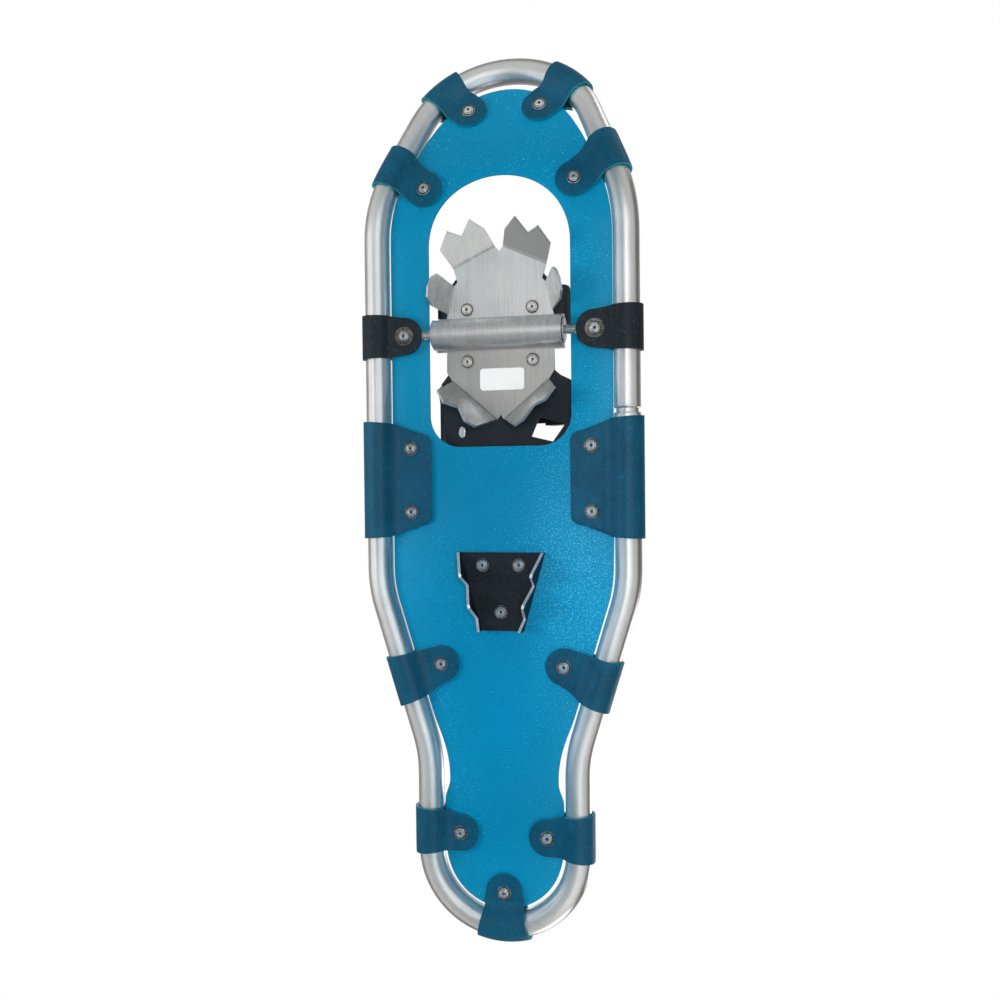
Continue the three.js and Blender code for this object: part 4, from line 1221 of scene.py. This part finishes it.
class SHOE_OT_rivets(bpy.types.Operator):
    """Sets a washer and a domed head on both sides of every strap, crampon and binding rivet."""

    bl_idname = "shoe.rivets"
    bl_label = "Rivets"

    def execute(self, context):
        props = context.scene.shoe_rivets
        steel = plated("Plated rivet", tuple(props.tone), 0.26)
        small, large, nodes = [], [], []
        for strap, node, side in strap_nodes():
            under = large if strap.name == "hinge_strap" else small
            base, _, tail = node.partition("_strap")
            for i, at in enumerate(strap.rivet_places()):
                x = at.x * side
                under.append(flat_place(x, at.y, -strap.below - LEAF_T - CAP_LIFT, -1))
                small.append(flat_place(x, at.y, strap.above + LEAF_T + CAP_LIFT, 1))
                number = f"_{i + 1}" if len(strap.rivets) > 1 else ""
                nodes.append(f"{base}_strap_rivet{number}{tail}")
        heel = []
        for i in (1, 2, 3):
            low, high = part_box(f"heel_crampon_rivet_{i}")
            middle = (low + high) * 500
            x, y = middle.x, middle.y - SHIFT_Y
            heel.append(flat_place(x, y, -DECK_T / 2 - GAP - PLATE_T, -1))
            small.append(flat_place(x, y, DECK_T / 2 + CAP_LIFT, 1))
            nodes.append(f"heel_crampon_rivet_{i}")
        seats, held = [], []
        rise = props.washer_height + props.head_height
        for number in (1, 2):
            for side, _ in SIDES:
                node = f"binding_rivet_{number}_{side}"
                low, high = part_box(node)
                middle = (low + high) / 2
                for z, sign in ((low.z + rise, -1), (high.z - rise, 1)):
                    at = Vector((middle.x, middle.y, z))
                    seats.append((at, Vector((0, 0, sign)), Vector((1, 0, 0))))
                held.append(node)
        plain, wide, heel_cap, seat_cap = (
            rivet_cap(props, washer)
            for washer in (
                props.washer,
                props.hinge_washer,
                props.washer * HEEL_CAP,
                props.washer * BINDING_CAP,
            )
        )
        set_caps("strap_rivets", plain, small, steel, "frame", *nodes, spin=CAP_SPIN, seed=5)
        set_caps("hinge_rivets", wide, large, steel, "frame", spin=CAP_SPIN, seed=9)
        set_caps("heel_rivets", heel_cap, heel, steel, "frame")
        set_caps("binding_rivets", seat_cap, seats, steel, "binding", *held, spin=CAP_SPIN, seed=4)
        return {"FINISHED"}


# ---- crampons and pivot ----


# A tooth's bare edge: its least depth below the heel plate, and how far down it faces
TOOTH_FROM, TOOTH_FACE = 0.004, -0.25


class SHOE_OT_crampons(bpy.types.Operator):
    """Finishes the brushed toe crampon and the coated heel crampon with its bare toothed edges."""

    bl_idname = "shoe.crampons"
    bl_label = "Crampons"

    def execute(self, context):
        props = context.scene.shoe_claws
        brushed = brushed_plate("Brushed claw", tuple(props.tone), props.rough, rear=0.6)
        worn = brushed_plate("Sheared edge", tuple(props.tone), props.rough, 0.5, metal=0.45)
        toe = dressed("toe_crampon", brushed, props.edge_round, 2, 24, 30)
        toe.data.materials.append(worn)
        finish_piece(toe, "binding", "toe_crampon", "toe_crampon")

        coat = grained_strap("Heel coat", props.heel, linear(66, 80, 90), 820, 0.00026, 0.5)
        heel = dressed("heel_crampon", coat, props.edge_round, 2, 30, 30)
        heel.data.materials.append(worn)
        fold = AXLE_HIGH.z - GAP / 1000 - TOOTH_FROM
        for face in heel.data.polygons:
            if face.center.z < fold and face.normal.z < TOOTH_FACE:
                face.material_index = 1
        finish_piece(heel, "frame", "heel_crampon", "heel_crampon")
        return {"FINISHED"}


# The axle's threads: root radius, half width and height of one, how many, gap and slant
THREAD_R, THREAD_HALF, THREADS, THREAD_GAP, THREAD_SLANT = 0.003, 0.00045, 5, 0.0009, 0.06


class SHOE_OT_pivot(bpy.types.Operator):
    """Finishes the axle and its threads, its bushes and its washers."""

    bl_idname = "shoe.pivot"
    bl_label = "Axle"

    def execute(self, context):
        props = context.scene.shoe_claws
        steel = plated("Plated axle", tuple(props.steel), 0.3)
        rod = dressed("axle", steel, 0.0003, 2, 26, 40)
        finish_piece(rod, "frame", "axle", "axle")
        low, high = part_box("axle_washer_left")
        middle = (low + high) / 2
        half = THREAD_HALF
        thread = lathe(
            [(0, -half), (THREAD_R, -half), (THREAD_R + half, 0), (THREAD_R, half), (0, half)],
            28,
        )
        slant = Vector((1, THREAD_SLANT, 0)).normalized()
        threads = []
        for _, side in SIDES:
            for i in range(THREADS):
                x = high.x + THREAD_GAP + props.pitch * i
                threads.append((Vector((x * side, middle.y, middle.z)), slant, Vector((0, 0, 1))))
        made = spread("axle_threads", thread, threads, steel)
        smooth(made.data, 25)
        finish_piece(made, "frame", "axle")
        black = moulded("Black bush", linear(24, 26, 29), 0.45)
        for side, _ in SIDES:
            bush = dressed(f"axle_bush_{side}", black, 0.0004, 2, 24, 35)
            finish_piece(bush, "binding", "bush", f"axle_bush_{side}")
            washer = dressed(f"axle_washer_{side}", steel, 0.00022, 2, 26, 40)
            finish_piece(washer, "binding", "axle", f"axle_washer_{side}")
        return {"FINISHED"}


# ---- binding ----

# Half arches as drawn (x, z) from the base to the crown, and each strap's row
TOE_ARCH = [(51, 14), (50.4, 24), (48, 38), (42.5, 52), (31, 64), (16, 71), (0, 73.5)]
INSTEP_ARCH = [(54, 14), (55, 26), (54, 42), (50.5, 56), (45, 68), (35, 81), (19, 91), (0, 95)]
TIGHT = [(x * 0.87, z) for x, z in INSTEP_ARCH]
# name, left half, right half, drawn Y, first point, riveted point, buckle's share of the length
ARCHES = [
    ("toe", TOE_ARCH, TOE_ARCH, -141.5, 1, 2, 0.66),
    ("instep", INSTEP_ARCH, TIGHT, -73.0, 2, 3, 0.68),
]
WEB_T, BASE_T, PIN_RISE, LEVER_EYE = 2.2, 3.0, 5.2, 3.4
# Share of an arch on each side of a seat that gives its direction
SEAT_REACH = 0.004
# How far binding rivets rise over the base, in metres
RIVET_RISE = 0.0025
# The tread as drawn: columns each way, rows, its share of the row step between columns,
# first and last row, turn of a bar; the base's halves; what the bars keep clear of
TREAD_COLUMNS, TREAD_ROWS, TREAD_CLOSER = 3, 16, 0.93
TREAD_FROM, TREAD_TO, TREAD_TURN = -158, -8, 0.5
BASE_STEP_Y, FRONT_HALF, REAR_HALF = -96, 24, 27
RIVET_X, RIVET_ROWS, RIVET_CLEAR = 24.3, (-139.4, -101.4), 11
SLOT_X, SLOT_FROM, SLOT_TO = 14, -66, -36
# The eyelet's place as drawn, its narrowing, and its lift over the rivets' foot
EYELET_X, EYELET_Y, EYELET_OVAL, EYELET_LIFT = -29.5, -50, 0.62, 0.0024
# Distances along a lever of its grip ribs, and shares of an arch between which it is toothed
RIB_RUNS, LADDER_FROM, LADDER_SPAN, BUCKLE_CLEAR = (8.0, 10.8, 13.6, 16.4), 0.31, 0.62, 4
ACROSS = Vector((0, 1, 0))


def smooth_line(knots, steps=60):
    """A centripetal curve through knots, as points."""
    line = []
    for i in range(len(knots) - 1):
        p1, p2 = knots[i], knots[i + 1]
        p0 = knots[i - 1] if i else p1 * 2 - p2
        p3 = knots[i + 2] if i + 2 < len(knots) else p2 * 2 - p1
        d0, d1, d2 = (
            max((b - a).length ** 0.5, 1e-4) for a, b in ((p0, p1), (p1, p2), (p2, p3))
        )
        t1 = ((p1 - p0) / d0 - (p2 - p0) / (d0 + d1) + (p2 - p1) / d1) * d1
        t2 = ((p2 - p1) / d1 - (p3 - p1) / (d1 + d2) + (p3 - p2) / d2) * d1
        for k in range(steps):
            t = k / steps
            line.append(
                p1
                + t1 * t
                + ((p2 - p1) * 3 - t1 * 2 - t2) * t**2
                + ((p1 - p2) * 2 + t1 + t2) * t**3
            )
    return line + [knots[-1]]


class Arch:
    """The middle line of a strap over the boot, looked up by share of its length."""

    def __init__(self, left, right, y, first):
        up = [Vector((-x, y, z)) for x, z in right[first:-1]]
        down = [Vector((x, y, z)) for x, z in reversed(left[first:])]
        self.points = smooth_line(up + down)
        self.starts = [0.0]
        for here, there in zip(self.points, self.points[1:]):
            self.starts.append(self.starts[-1] + (there - here).length)
        self.length = self.starts[-1]

    def at(self, share):
        want = share * self.length
        for i, start in enumerate(self.starts[1:], 1):
            if start >= want:
                part = (want - self.starts[i - 1]) / (start - self.starts[i - 1])
                return self.points[i - 1].lerp(self.points[i], part)
        return self.points[-1]

    def seat(self, share, rise=0.0):
        """A point raised off the strap, its outward direction and the direction along it."""
        along = (self.at(share + SEAT_REACH) - self.at(share - SEAT_REACH)).normalized()
        outward = along.cross(ACROSS).normalized()
        point = self.at(share) + outward * rise
        return in_row(*point), outward, along


def arch_seat(half, i):
    """A point of a half arch and its outward direction, both in x and z."""
    (last_x, last_z), (next_x, next_z) = half[i - 1], half[i + 1]
    long = math.hypot(next_x - last_x, next_z - last_z)
    return half[i], ((next_z - last_z) / long, (last_x - next_x) / long)


def bar(size_x, size_y, height, ramp=0.0, round_off=0.0002):
    """A small raised bar on z = 0 with chamfered top edges, ramped towards +X."""
    x, y, r, foot = size_x / 2, size_y / 2, round_off, -height * 0.4
    points = [
        (-x, -y, foot), (x, -y, foot), (x, y, foot), (-x, y, foot),
        (-x, -y, height - r), (x, -y, height - r - ramp),
        (x, y, height - r - ramp), (-x, y, height - r),
        (-x + r, -y + r, height), (x - r, -y + r, height - ramp),
        (x - r, y - r, height - ramp), (-x + r, y - r, height),
    ]
    faces = [(3, 2, 1, 0), (8, 9, 10, 11)]
    for low in (0, 4):
        for i in range(4):
            j = (i + 1) % 4
            faces.append((low + i, low + j, low + 4 + j, low + 4 + i))
    mesh = mesh_from(points, faces, "bar")
    facing_out(mesh)
    return mesh


class SHOE_OT_binding(bpy.types.Operator):
    """Finishes the moulded binding base, its tread bars, its eyelet and the boot straps."""

    bl_idname = "shoe.binding"
    bl_label = "Binding"

    def execute(self, context):
        props = context.scene.shoe_binding
        base_skin = moulded("Moulded base", props.plastic, 0.52, 760, 0.00009)
        strap_skin = moulded("Moulded strap", props.webbing, 0.44, 1200, 0.00005)
        webbing = woven("Heel webbing", props.webbing, 0.62)
        base = dressed("binding_base", base_skin, props.edge_round, 3, 26, 32)
        finish_piece(base, "binding", "binding_base", "binding_base")
        webs = (("toe_web", strap_skin), ("instep_web", strap_skin), ("heel_web", webbing))
        for node, skin in webs:
            strap = dressed(node, skin, 0.0005, 2, 40, 40)
            finish_piece(strap, "binding", "web", node)
        self.tread(props, base_skin)
        self.eyelet(context.scene.shoe_rivets)
        self.ladders(props, strap_skin)
        self.seats(context.scene.shoe_rivets)
        return {"FINISHED"}

    def tread(self, props, skin):
        """Sets the tread bars on the base, clear of its rivets and its slot."""
        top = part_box("binding_rivet_1_left")[1].z - RIVET_RISE
        step = props.tread_step * 1000
        places = []
        for i in range(-TREAD_COLUMNS, TREAD_COLUMNS + 1):
            for j in range(TREAD_ROWS):
                x, y = i * step * TREAD_CLOSER, TREAD_FROM + j * step
                half = FRONT_HALF if y < BASE_STEP_Y else REAR_HALF
                if abs(x) > half or y > TREAD_TO:
                    continue
                near_rivet = any(
                    math.hypot(abs(x) - RIVET_X, y - row) < RIVET_CLEAR for row in RIVET_ROWS
                )
                if near_rivet or (x > SLOT_X and SLOT_FROM < y < SLOT_TO):
                    continue
                turn = TREAD_TURN if (i + j) % 2 else -TREAD_TURN
                places.append(
                    (
                        Vector((x / 1000, (y + SHIFT_Y) / 1000, top)),
                        Vector((0, 0, 1)),
                        Vector((math.cos(turn), math.sin(turn), 0)),
                    )
                )
        made = spread("base_tread", bar(0.0066, 0.0018, 0.0008), places, skin)
        finish_piece(made, "binding", "binding_base")

    def eyelet(self, rivets):
        """Sets the oval eyelet in the rear of the base."""
        steel = plated("Eyelet", tuple(rivets.tone), 0.3)
        ring = lathe(
            [
                (0, 0.0004), (0.0016, 0.0004), (0.0019, 0.0011), (0.0026, 0.0013),
                (0.0040, 0.0010), (0.0044, 0.0004), (0.0044, -0.0004), (0, -0.0004),
            ]
        )
        ring.transform(Matrix.Diagonal((EYELET_OVAL, 1.0, 1.0, 1.0)))
        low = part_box("binding_rivet_1_left")[0].z + RIVET_RISE + EYELET_LIFT
        seat = (
            Vector((EYELET_X / 1000, (EYELET_Y + SHIFT_Y) / 1000, low)),
            Vector((0, 0, -1)),
            Vector((1, 0, 0)),
        )
        set_caps("base_eyelet", ring, [seat], steel, "binding")

    def ladders(self, props, skin):
        """Sets the teeth along each strap over the boot, clear of its buckle."""
        tooth = bar(0.0026, 0.0125, 0.0006, 0.0003, 0.00015)
        for name, left, right, y, first, _, buckle in ARCHES:
            arch = Arch(left, right, y, first)
            step = props.tooth_step * 1000 / arch.length
            places = []
            for i in range(int(LADDER_SPAN / step)):
                share = LADDER_FROM + i * step
                if abs(share - buckle) * arch.length > BUCKLE_CLEAR:
                    places.append(arch.seat(share, WEB_T / 2))
            made = spread(f"{name}_ladder", tooth, places, skin)
            finish_piece(made, "binding", "web")

    def seats(self, rivets):
        """Sets a cap inside and outside each place where a strap is riveted to the base."""
        steel = plated("Binding rivet", tuple(rivets.tone), 0.28)
        low = -(BASE_T / 2 + GAP + WEB_T / 2) - BASE_T / 2 - 0.9
        places, nodes = [], []
        ends = [(n, left, right, y, seat) for n, left, right, y, _, seat, _ in ARCHES]
        ends.append(("heel", INSTEP_ARCH, TIGHT, -73.0, 1))
        for name, left, right, y, seat in ends:
            for side, sign in SIDES:
                (x, z), (out_x, out_z) = arch_seat(left if sign > 0 else right, seat)
                outward = Vector((out_x * sign, 0, out_z))
                middle = in_row(x * sign, y, z)
                places.append((middle + outward * (WEB_T / 2 + 0.3) / 1000, outward, ACROSS))
                places.append((middle + outward * low / 1000, -outward, ACROSS))
                nodes.append(f"{name}_web_rivet_{side}")
        cap = rivet_cap(rivets, rivets.washer)
        set_caps("web_rivets", cap, places, steel, "binding", *nodes, spin=CAP_SPIN)


class SHOE_OT_buckles(bpy.types.Operator):
    """Finishes the two ratchet buckles and their levers, with grip ribs on each lever."""

    bl_idname = "shoe.buckles"
    bl_label = "Ratchet buckles"

    def execute(self, context):
        props = context.scene.shoe_binding
        skin = moulded("Moulded buckle", props.buckle, 0.34, 1500, 0.00003)
        rib = bar(0.0014, 0.0185, 0.0007)
        for name, left, right, y, first, _, buckle in ARCHES:
            body = dressed(f"{name}_ratchet", skin, 0.0005, 3, 28, 35)
            finish_piece(body, "binding", "buckle", f"{name}_ratchet")
            lever = dressed(f"{name}_lever", skin, 0.0006, 3, 24, 35)
            finish_piece(lever, f"{name}_lever", "buckle", f"{name}_lever")
            point, outward, along = Arch(left, right, y, first).seat(buckle, PIN_RISE)
            places = [
                (point + (along * run + outward * LEVER_EYE) / 1000, outward, along)
                for run in RIB_RUNS
            ]
            made = spread(f"{name}_lever_ribs", rib, places, skin)
            finish_piece(made, f"{name}_lever", "buckle")
        return {"FINISHED"}


# Radii of the sticker's corners and of its paper's edge
CORNER, PAPER_ROUND = 0.0026, 0.00012


class SHOE_OT_label(bpy.types.Operator):
    """Lays the blank sticker with rounded corners on the rear of the toe crampon."""

    bl_idname = "shoe.label"
    bl_label = "Sticker"

    def execute(self, context):
        low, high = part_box("label")
        x0, y0, x1, y1 = low.x + CORNER, low.y + CORNER, high.x - CORNER, high.y - CORNER
        rim = []
        for i, (x, y) in enumerate(((x1, y1), (x0, y1), (x0, y0), (x1, y0))):
            rim += arc(x, y, CORNER, math.pi / 2 * i, math.pi / 2 * (i + 1), 8)
        count = len(rim)
        points = [(p.x, p.y, high.z) for p in rim] + [(p.x, p.y, low.z) for p in rim]
        faces = [tuple(range(count)), tuple(range(2 * count - 1, count - 1, -1))]
        for i in range(count):
            j = (i + 1) % count
            faces.append((j, i, count + i, count + j))
        sticker = new_object(
            "sticker", mesh_from(points, faces, "sticker"), plain_sticker("Blank sticker")
        )
        facing_out(sticker.data)
        modified(sticker, rounded(PAPER_ROUND, 1))
        smooth(sticker.data, 40)
        finish_piece(sticker, "binding", "label", "label")
        return {"FINISHED"}


# ---- stage ----


# name, place, target, size, whether it shines from below, share of that side's watts
LIGHTS = (
    ("Toe light", (0.34, -0.12, -1.15), (0, 0.05, 0), 0.55, True, 1.0),
    ("Side light", (-0.85, -0.1, -0.6), (0, 0.05, 0), 0.4, True, 0.6),
    ("Heel light", (0.45, 0.8, -0.8), (0, 0.1, 0), 0.35, True, 0.3),
    ("Heel card", (0.27, 1.15, 0.2), (0, -0.1, 0), 0.4, True, 0.25),
    ("Toe card", (0.5, -0.95, 0.42), (0, -0.1, 0), 0.4, True, 0.1),
    ("Top light", (-0.5, -0.7, 1.5), (0, 0, 0), 1.1, False, 1.0),
    ("Back light", (0.9, 0.8, 1.1), (0, 0, 0), 0.8, False, 0.5),
)
# The camera's place and the directions to its right and in front of it
EYE = (0.15875, -0.00566, -0.68818)
EYE_RIGHT, EYE_FORWARD = (0.9757, 0.0107, 0.2189), (-0.2191, 0.0166, 0.9756)
LENS, NEAR_CLIP = 36, 0.01
# Half width of the floor, and the distances between which it fades away
FLOOR_HALF, FLOOR_FADE = 9, (0.6, 2.0)
# Greys of the surround from straight down (0) to straight up (1), and its falls along X and Y
GREYS = ((0.1, 0.75), (0.24, 1.0), (0.36, 0.42), (0.5, 0.12), (0.75, 0.22))
DOWN_GREY, UP_GREY = (0.6, 0.6, 0.6, 1), (0.6, 0.61, 0.62, 1)
FALL_X, FALL_Y = -0.5, -0.42


def area_light(name, place, target, size, watts):
    light = bpy.data.lights.new(name, "AREA")
    light.shape = "DISK"
    light.size = size
    light.energy = watts
    lamp = bpy.data.objects.new(name, light)
    lamp.location = place
    aim = Vector(target) - Vector(place)
    lamp.rotation_euler = aim.to_track_quat("-Z", "Y").to_euler()
    lamp.visible_camera = False
    bpy.context.scene.collection.objects.link(lamp)


class SHOE_OT_stage(bpy.types.Operator):
    """Sets the one-sided floor, the soft lights, the pale surround and the camera."""

    bl_idname = "shoe.stage"
    bl_label = "Stage"

    def execute(self, context):
        props = context.scene.shoe_stage
        if props.show_floor:
            self.floor(tuple(props.floor))
        self.surround(props.sky)
        for name, place, target, size, below, share in LIGHTS:
            watts = props.under if below else props.over
            area_light(name, place, target, size, watts * share)
        camera = bpy.data.cameras.new("Camera")
        camera.lens = camera.sensor_width = LENS
        camera.clip_start = NEAR_CLIP
        eye = bpy.data.objects.new("Camera", camera)
        forward = Vector(EYE_FORWARD).normalized()
        up = Vector(EYE_RIGHT).cross(forward).normalized()
        right = forward.cross(up).normalized()
        turn = Matrix((right, up, -forward)).transposed()
        eye.matrix_world = Matrix.Translation(EYE) @ turn.to_4x4()
        context.scene.collection.objects.link(eye)
        context.scene.camera = eye
        context.scene.view_settings.view_transform = "Standard"
        return {"FINISHED"}

    def floor(self, tone):
        """Lays a floor that shows only from above and fades with distance."""
        ends = ((-1, -1), (1, -1), (1, 1), (-1, 1))
        corners = [(x * FLOOR_HALF, y * FLOOR_HALF, 0) for x, y in ends]
        mesh = mesh_from(corners, [(0, 1, 2, 3)], "floor")
        f = Finish("Pale floor")
        f.set(Base_Color=f.mix(f.noise(6, 3), dim(tone, 0.98), tone), Roughness=0.7)
        below = f.node("ShaderNodeNewGeometry", out="Backfacing")
        away = f.node("ShaderNodeVectorMath", [f.place()], "Value", operation="LENGTH")
        hidden = below.maths("MAXIMUM", away.between(*FLOOR_FADE))
        clear = f.node("ShaderNodeBsdfTransparent")
        surface = Wire(f, f.shader.outputs[0])
        one_sided = f.node("ShaderNodeMixShader", {0: hidden, 1: surface, 2: clear})
        end = f.tree.nodes["Material Output"]
        f.tree.links.new(one_sided.socket, end.inputs["Surface"])
        floor = new_object("floor", mesh, f.material)
        floor.visible_shadow = False

    def surround(self, strength):
        """Lights from a grey surround that falls off along X and Y, and shows as white."""
        world = bpy.data.worlds.new("Surround")
        world.use_nodes = True
        tree = world.node_tree
        tree.nodes.clear()

        def add(kind, **settings):
            made = tree.nodes.new(kind)
            for key, value in settings.items():
                setattr(made, key, value)
            return made

        where = add("ShaderNodeTexCoord")
        split = add("ShaderNodeSeparateXYZ")
        ramp = add("ShaderNodeValToRGB")
        spread_out = add("ShaderNodeMapRange")
        stops = ramp.color_ramp.elements
        stops[0].position, stops[0].color = 0.0, DOWN_GREY
        stops[1].position, stops[1].color = 1.0, UP_GREY
        for place, grey in GREYS:
            stop = stops.new(place)
            stop.color = (grey, grey, grey, 1)
        soft, white = add("ShaderNodeBackground"), add("ShaderNodeBackground")
        across, along = add("ShaderNodeMath"), add("ShaderNodeMath")
        for bias, share in ((across, FALL_X), (along, FALL_Y)):
            bias.operation = "MULTIPLY_ADD"
            bias.inputs[1].default_value = share * strength
        across.inputs[2].default_value = strength
        white.inputs["Color"].default_value = (1, 1, 1, 1)
        seen = add("ShaderNodeLightPath")
        both, end = add("ShaderNodeMixShader"), add("ShaderNodeOutputWorld")
        link = tree.links.new
        link(where.outputs["Generated"], split.inputs[0])
        link(split.outputs["Z"], spread_out.inputs["Value"])
        link(split.outputs["X"], across.inputs[0])
        link(split.outputs["Y"], along.inputs[0])
        link(across.outputs[0], along.inputs[2])
        link(along.outputs[0], soft.inputs["Strength"])
        spread_out.inputs["From Min"].default_value = -1.0
        link(spread_out.outputs[0], ramp.inputs["Fac"])
        link(ramp.outputs["Color"], soft.inputs["Color"])
        link(seen.outputs["Is Camera Ray"], both.inputs[0])
        link(soft.outputs[0], both.inputs[1])
        link(white.outputs[0], both.inputs[2])
        link(both.outputs[0], end.inputs["Surface"])
        bpy.context.scene.world = world


OPERATORS = (
    SHOE_OT_stage,
    SHOE_OT_tube,
    SHOE_OT_deck,
    SHOE_OT_straps,
    SHOE_OT_rivets,
    SHOE_OT_crampons,
    SHOE_OT_pivot,
    SHOE_OT_binding,
    SHOE_OT_buckles,
    SHOE_OT_label,
)


class SHOE_PT_panel(bpy.types.Panel):
    """Lists the snowshoe's sizes, colours and building steps."""

    bl_idname = "SHOE_PT_panel"
    bl_label = "Snowshoe"
    bl_space_type = "VIEW_3D"
    bl_region_type = "UI"
    bl_category = "Snowshoe"

    def draw(self, context):
        for operator in OPERATORS:
            self.layout.operator(operator.bl_idname)
        for key in SETTINGS:
            group = getattr(context.scene, key)
            box = self.layout.box()
            for field in group.bl_rna.properties:
                if field.identifier not in ("rna_type", "name"):
                    box.prop(group, field.identifier)


def register():
    for made in (*SETTINGS.values(), *OPERATORS, SHOE_PT_panel):
        bpy.utils.register_class(made)
    for key, group in SETTINGS.items():
        setattr(bpy.types.Scene, key, PointerProperty(type=group))


def unregister():
    for key in SETTINGS:
        delattr(bpy.types.Scene, key)
    for made in reversed((*SETTINGS.values(), *OPERATORS, SHOE_PT_panel)):
        bpy.utils.unregister_class(made)


def main():
    register()
    for operator in OPERATORS:
        group, name = operator.bl_idname.split(".")
        getattr(getattr(bpy.ops, group), name)()


if __name__ == "__main__":
    main()
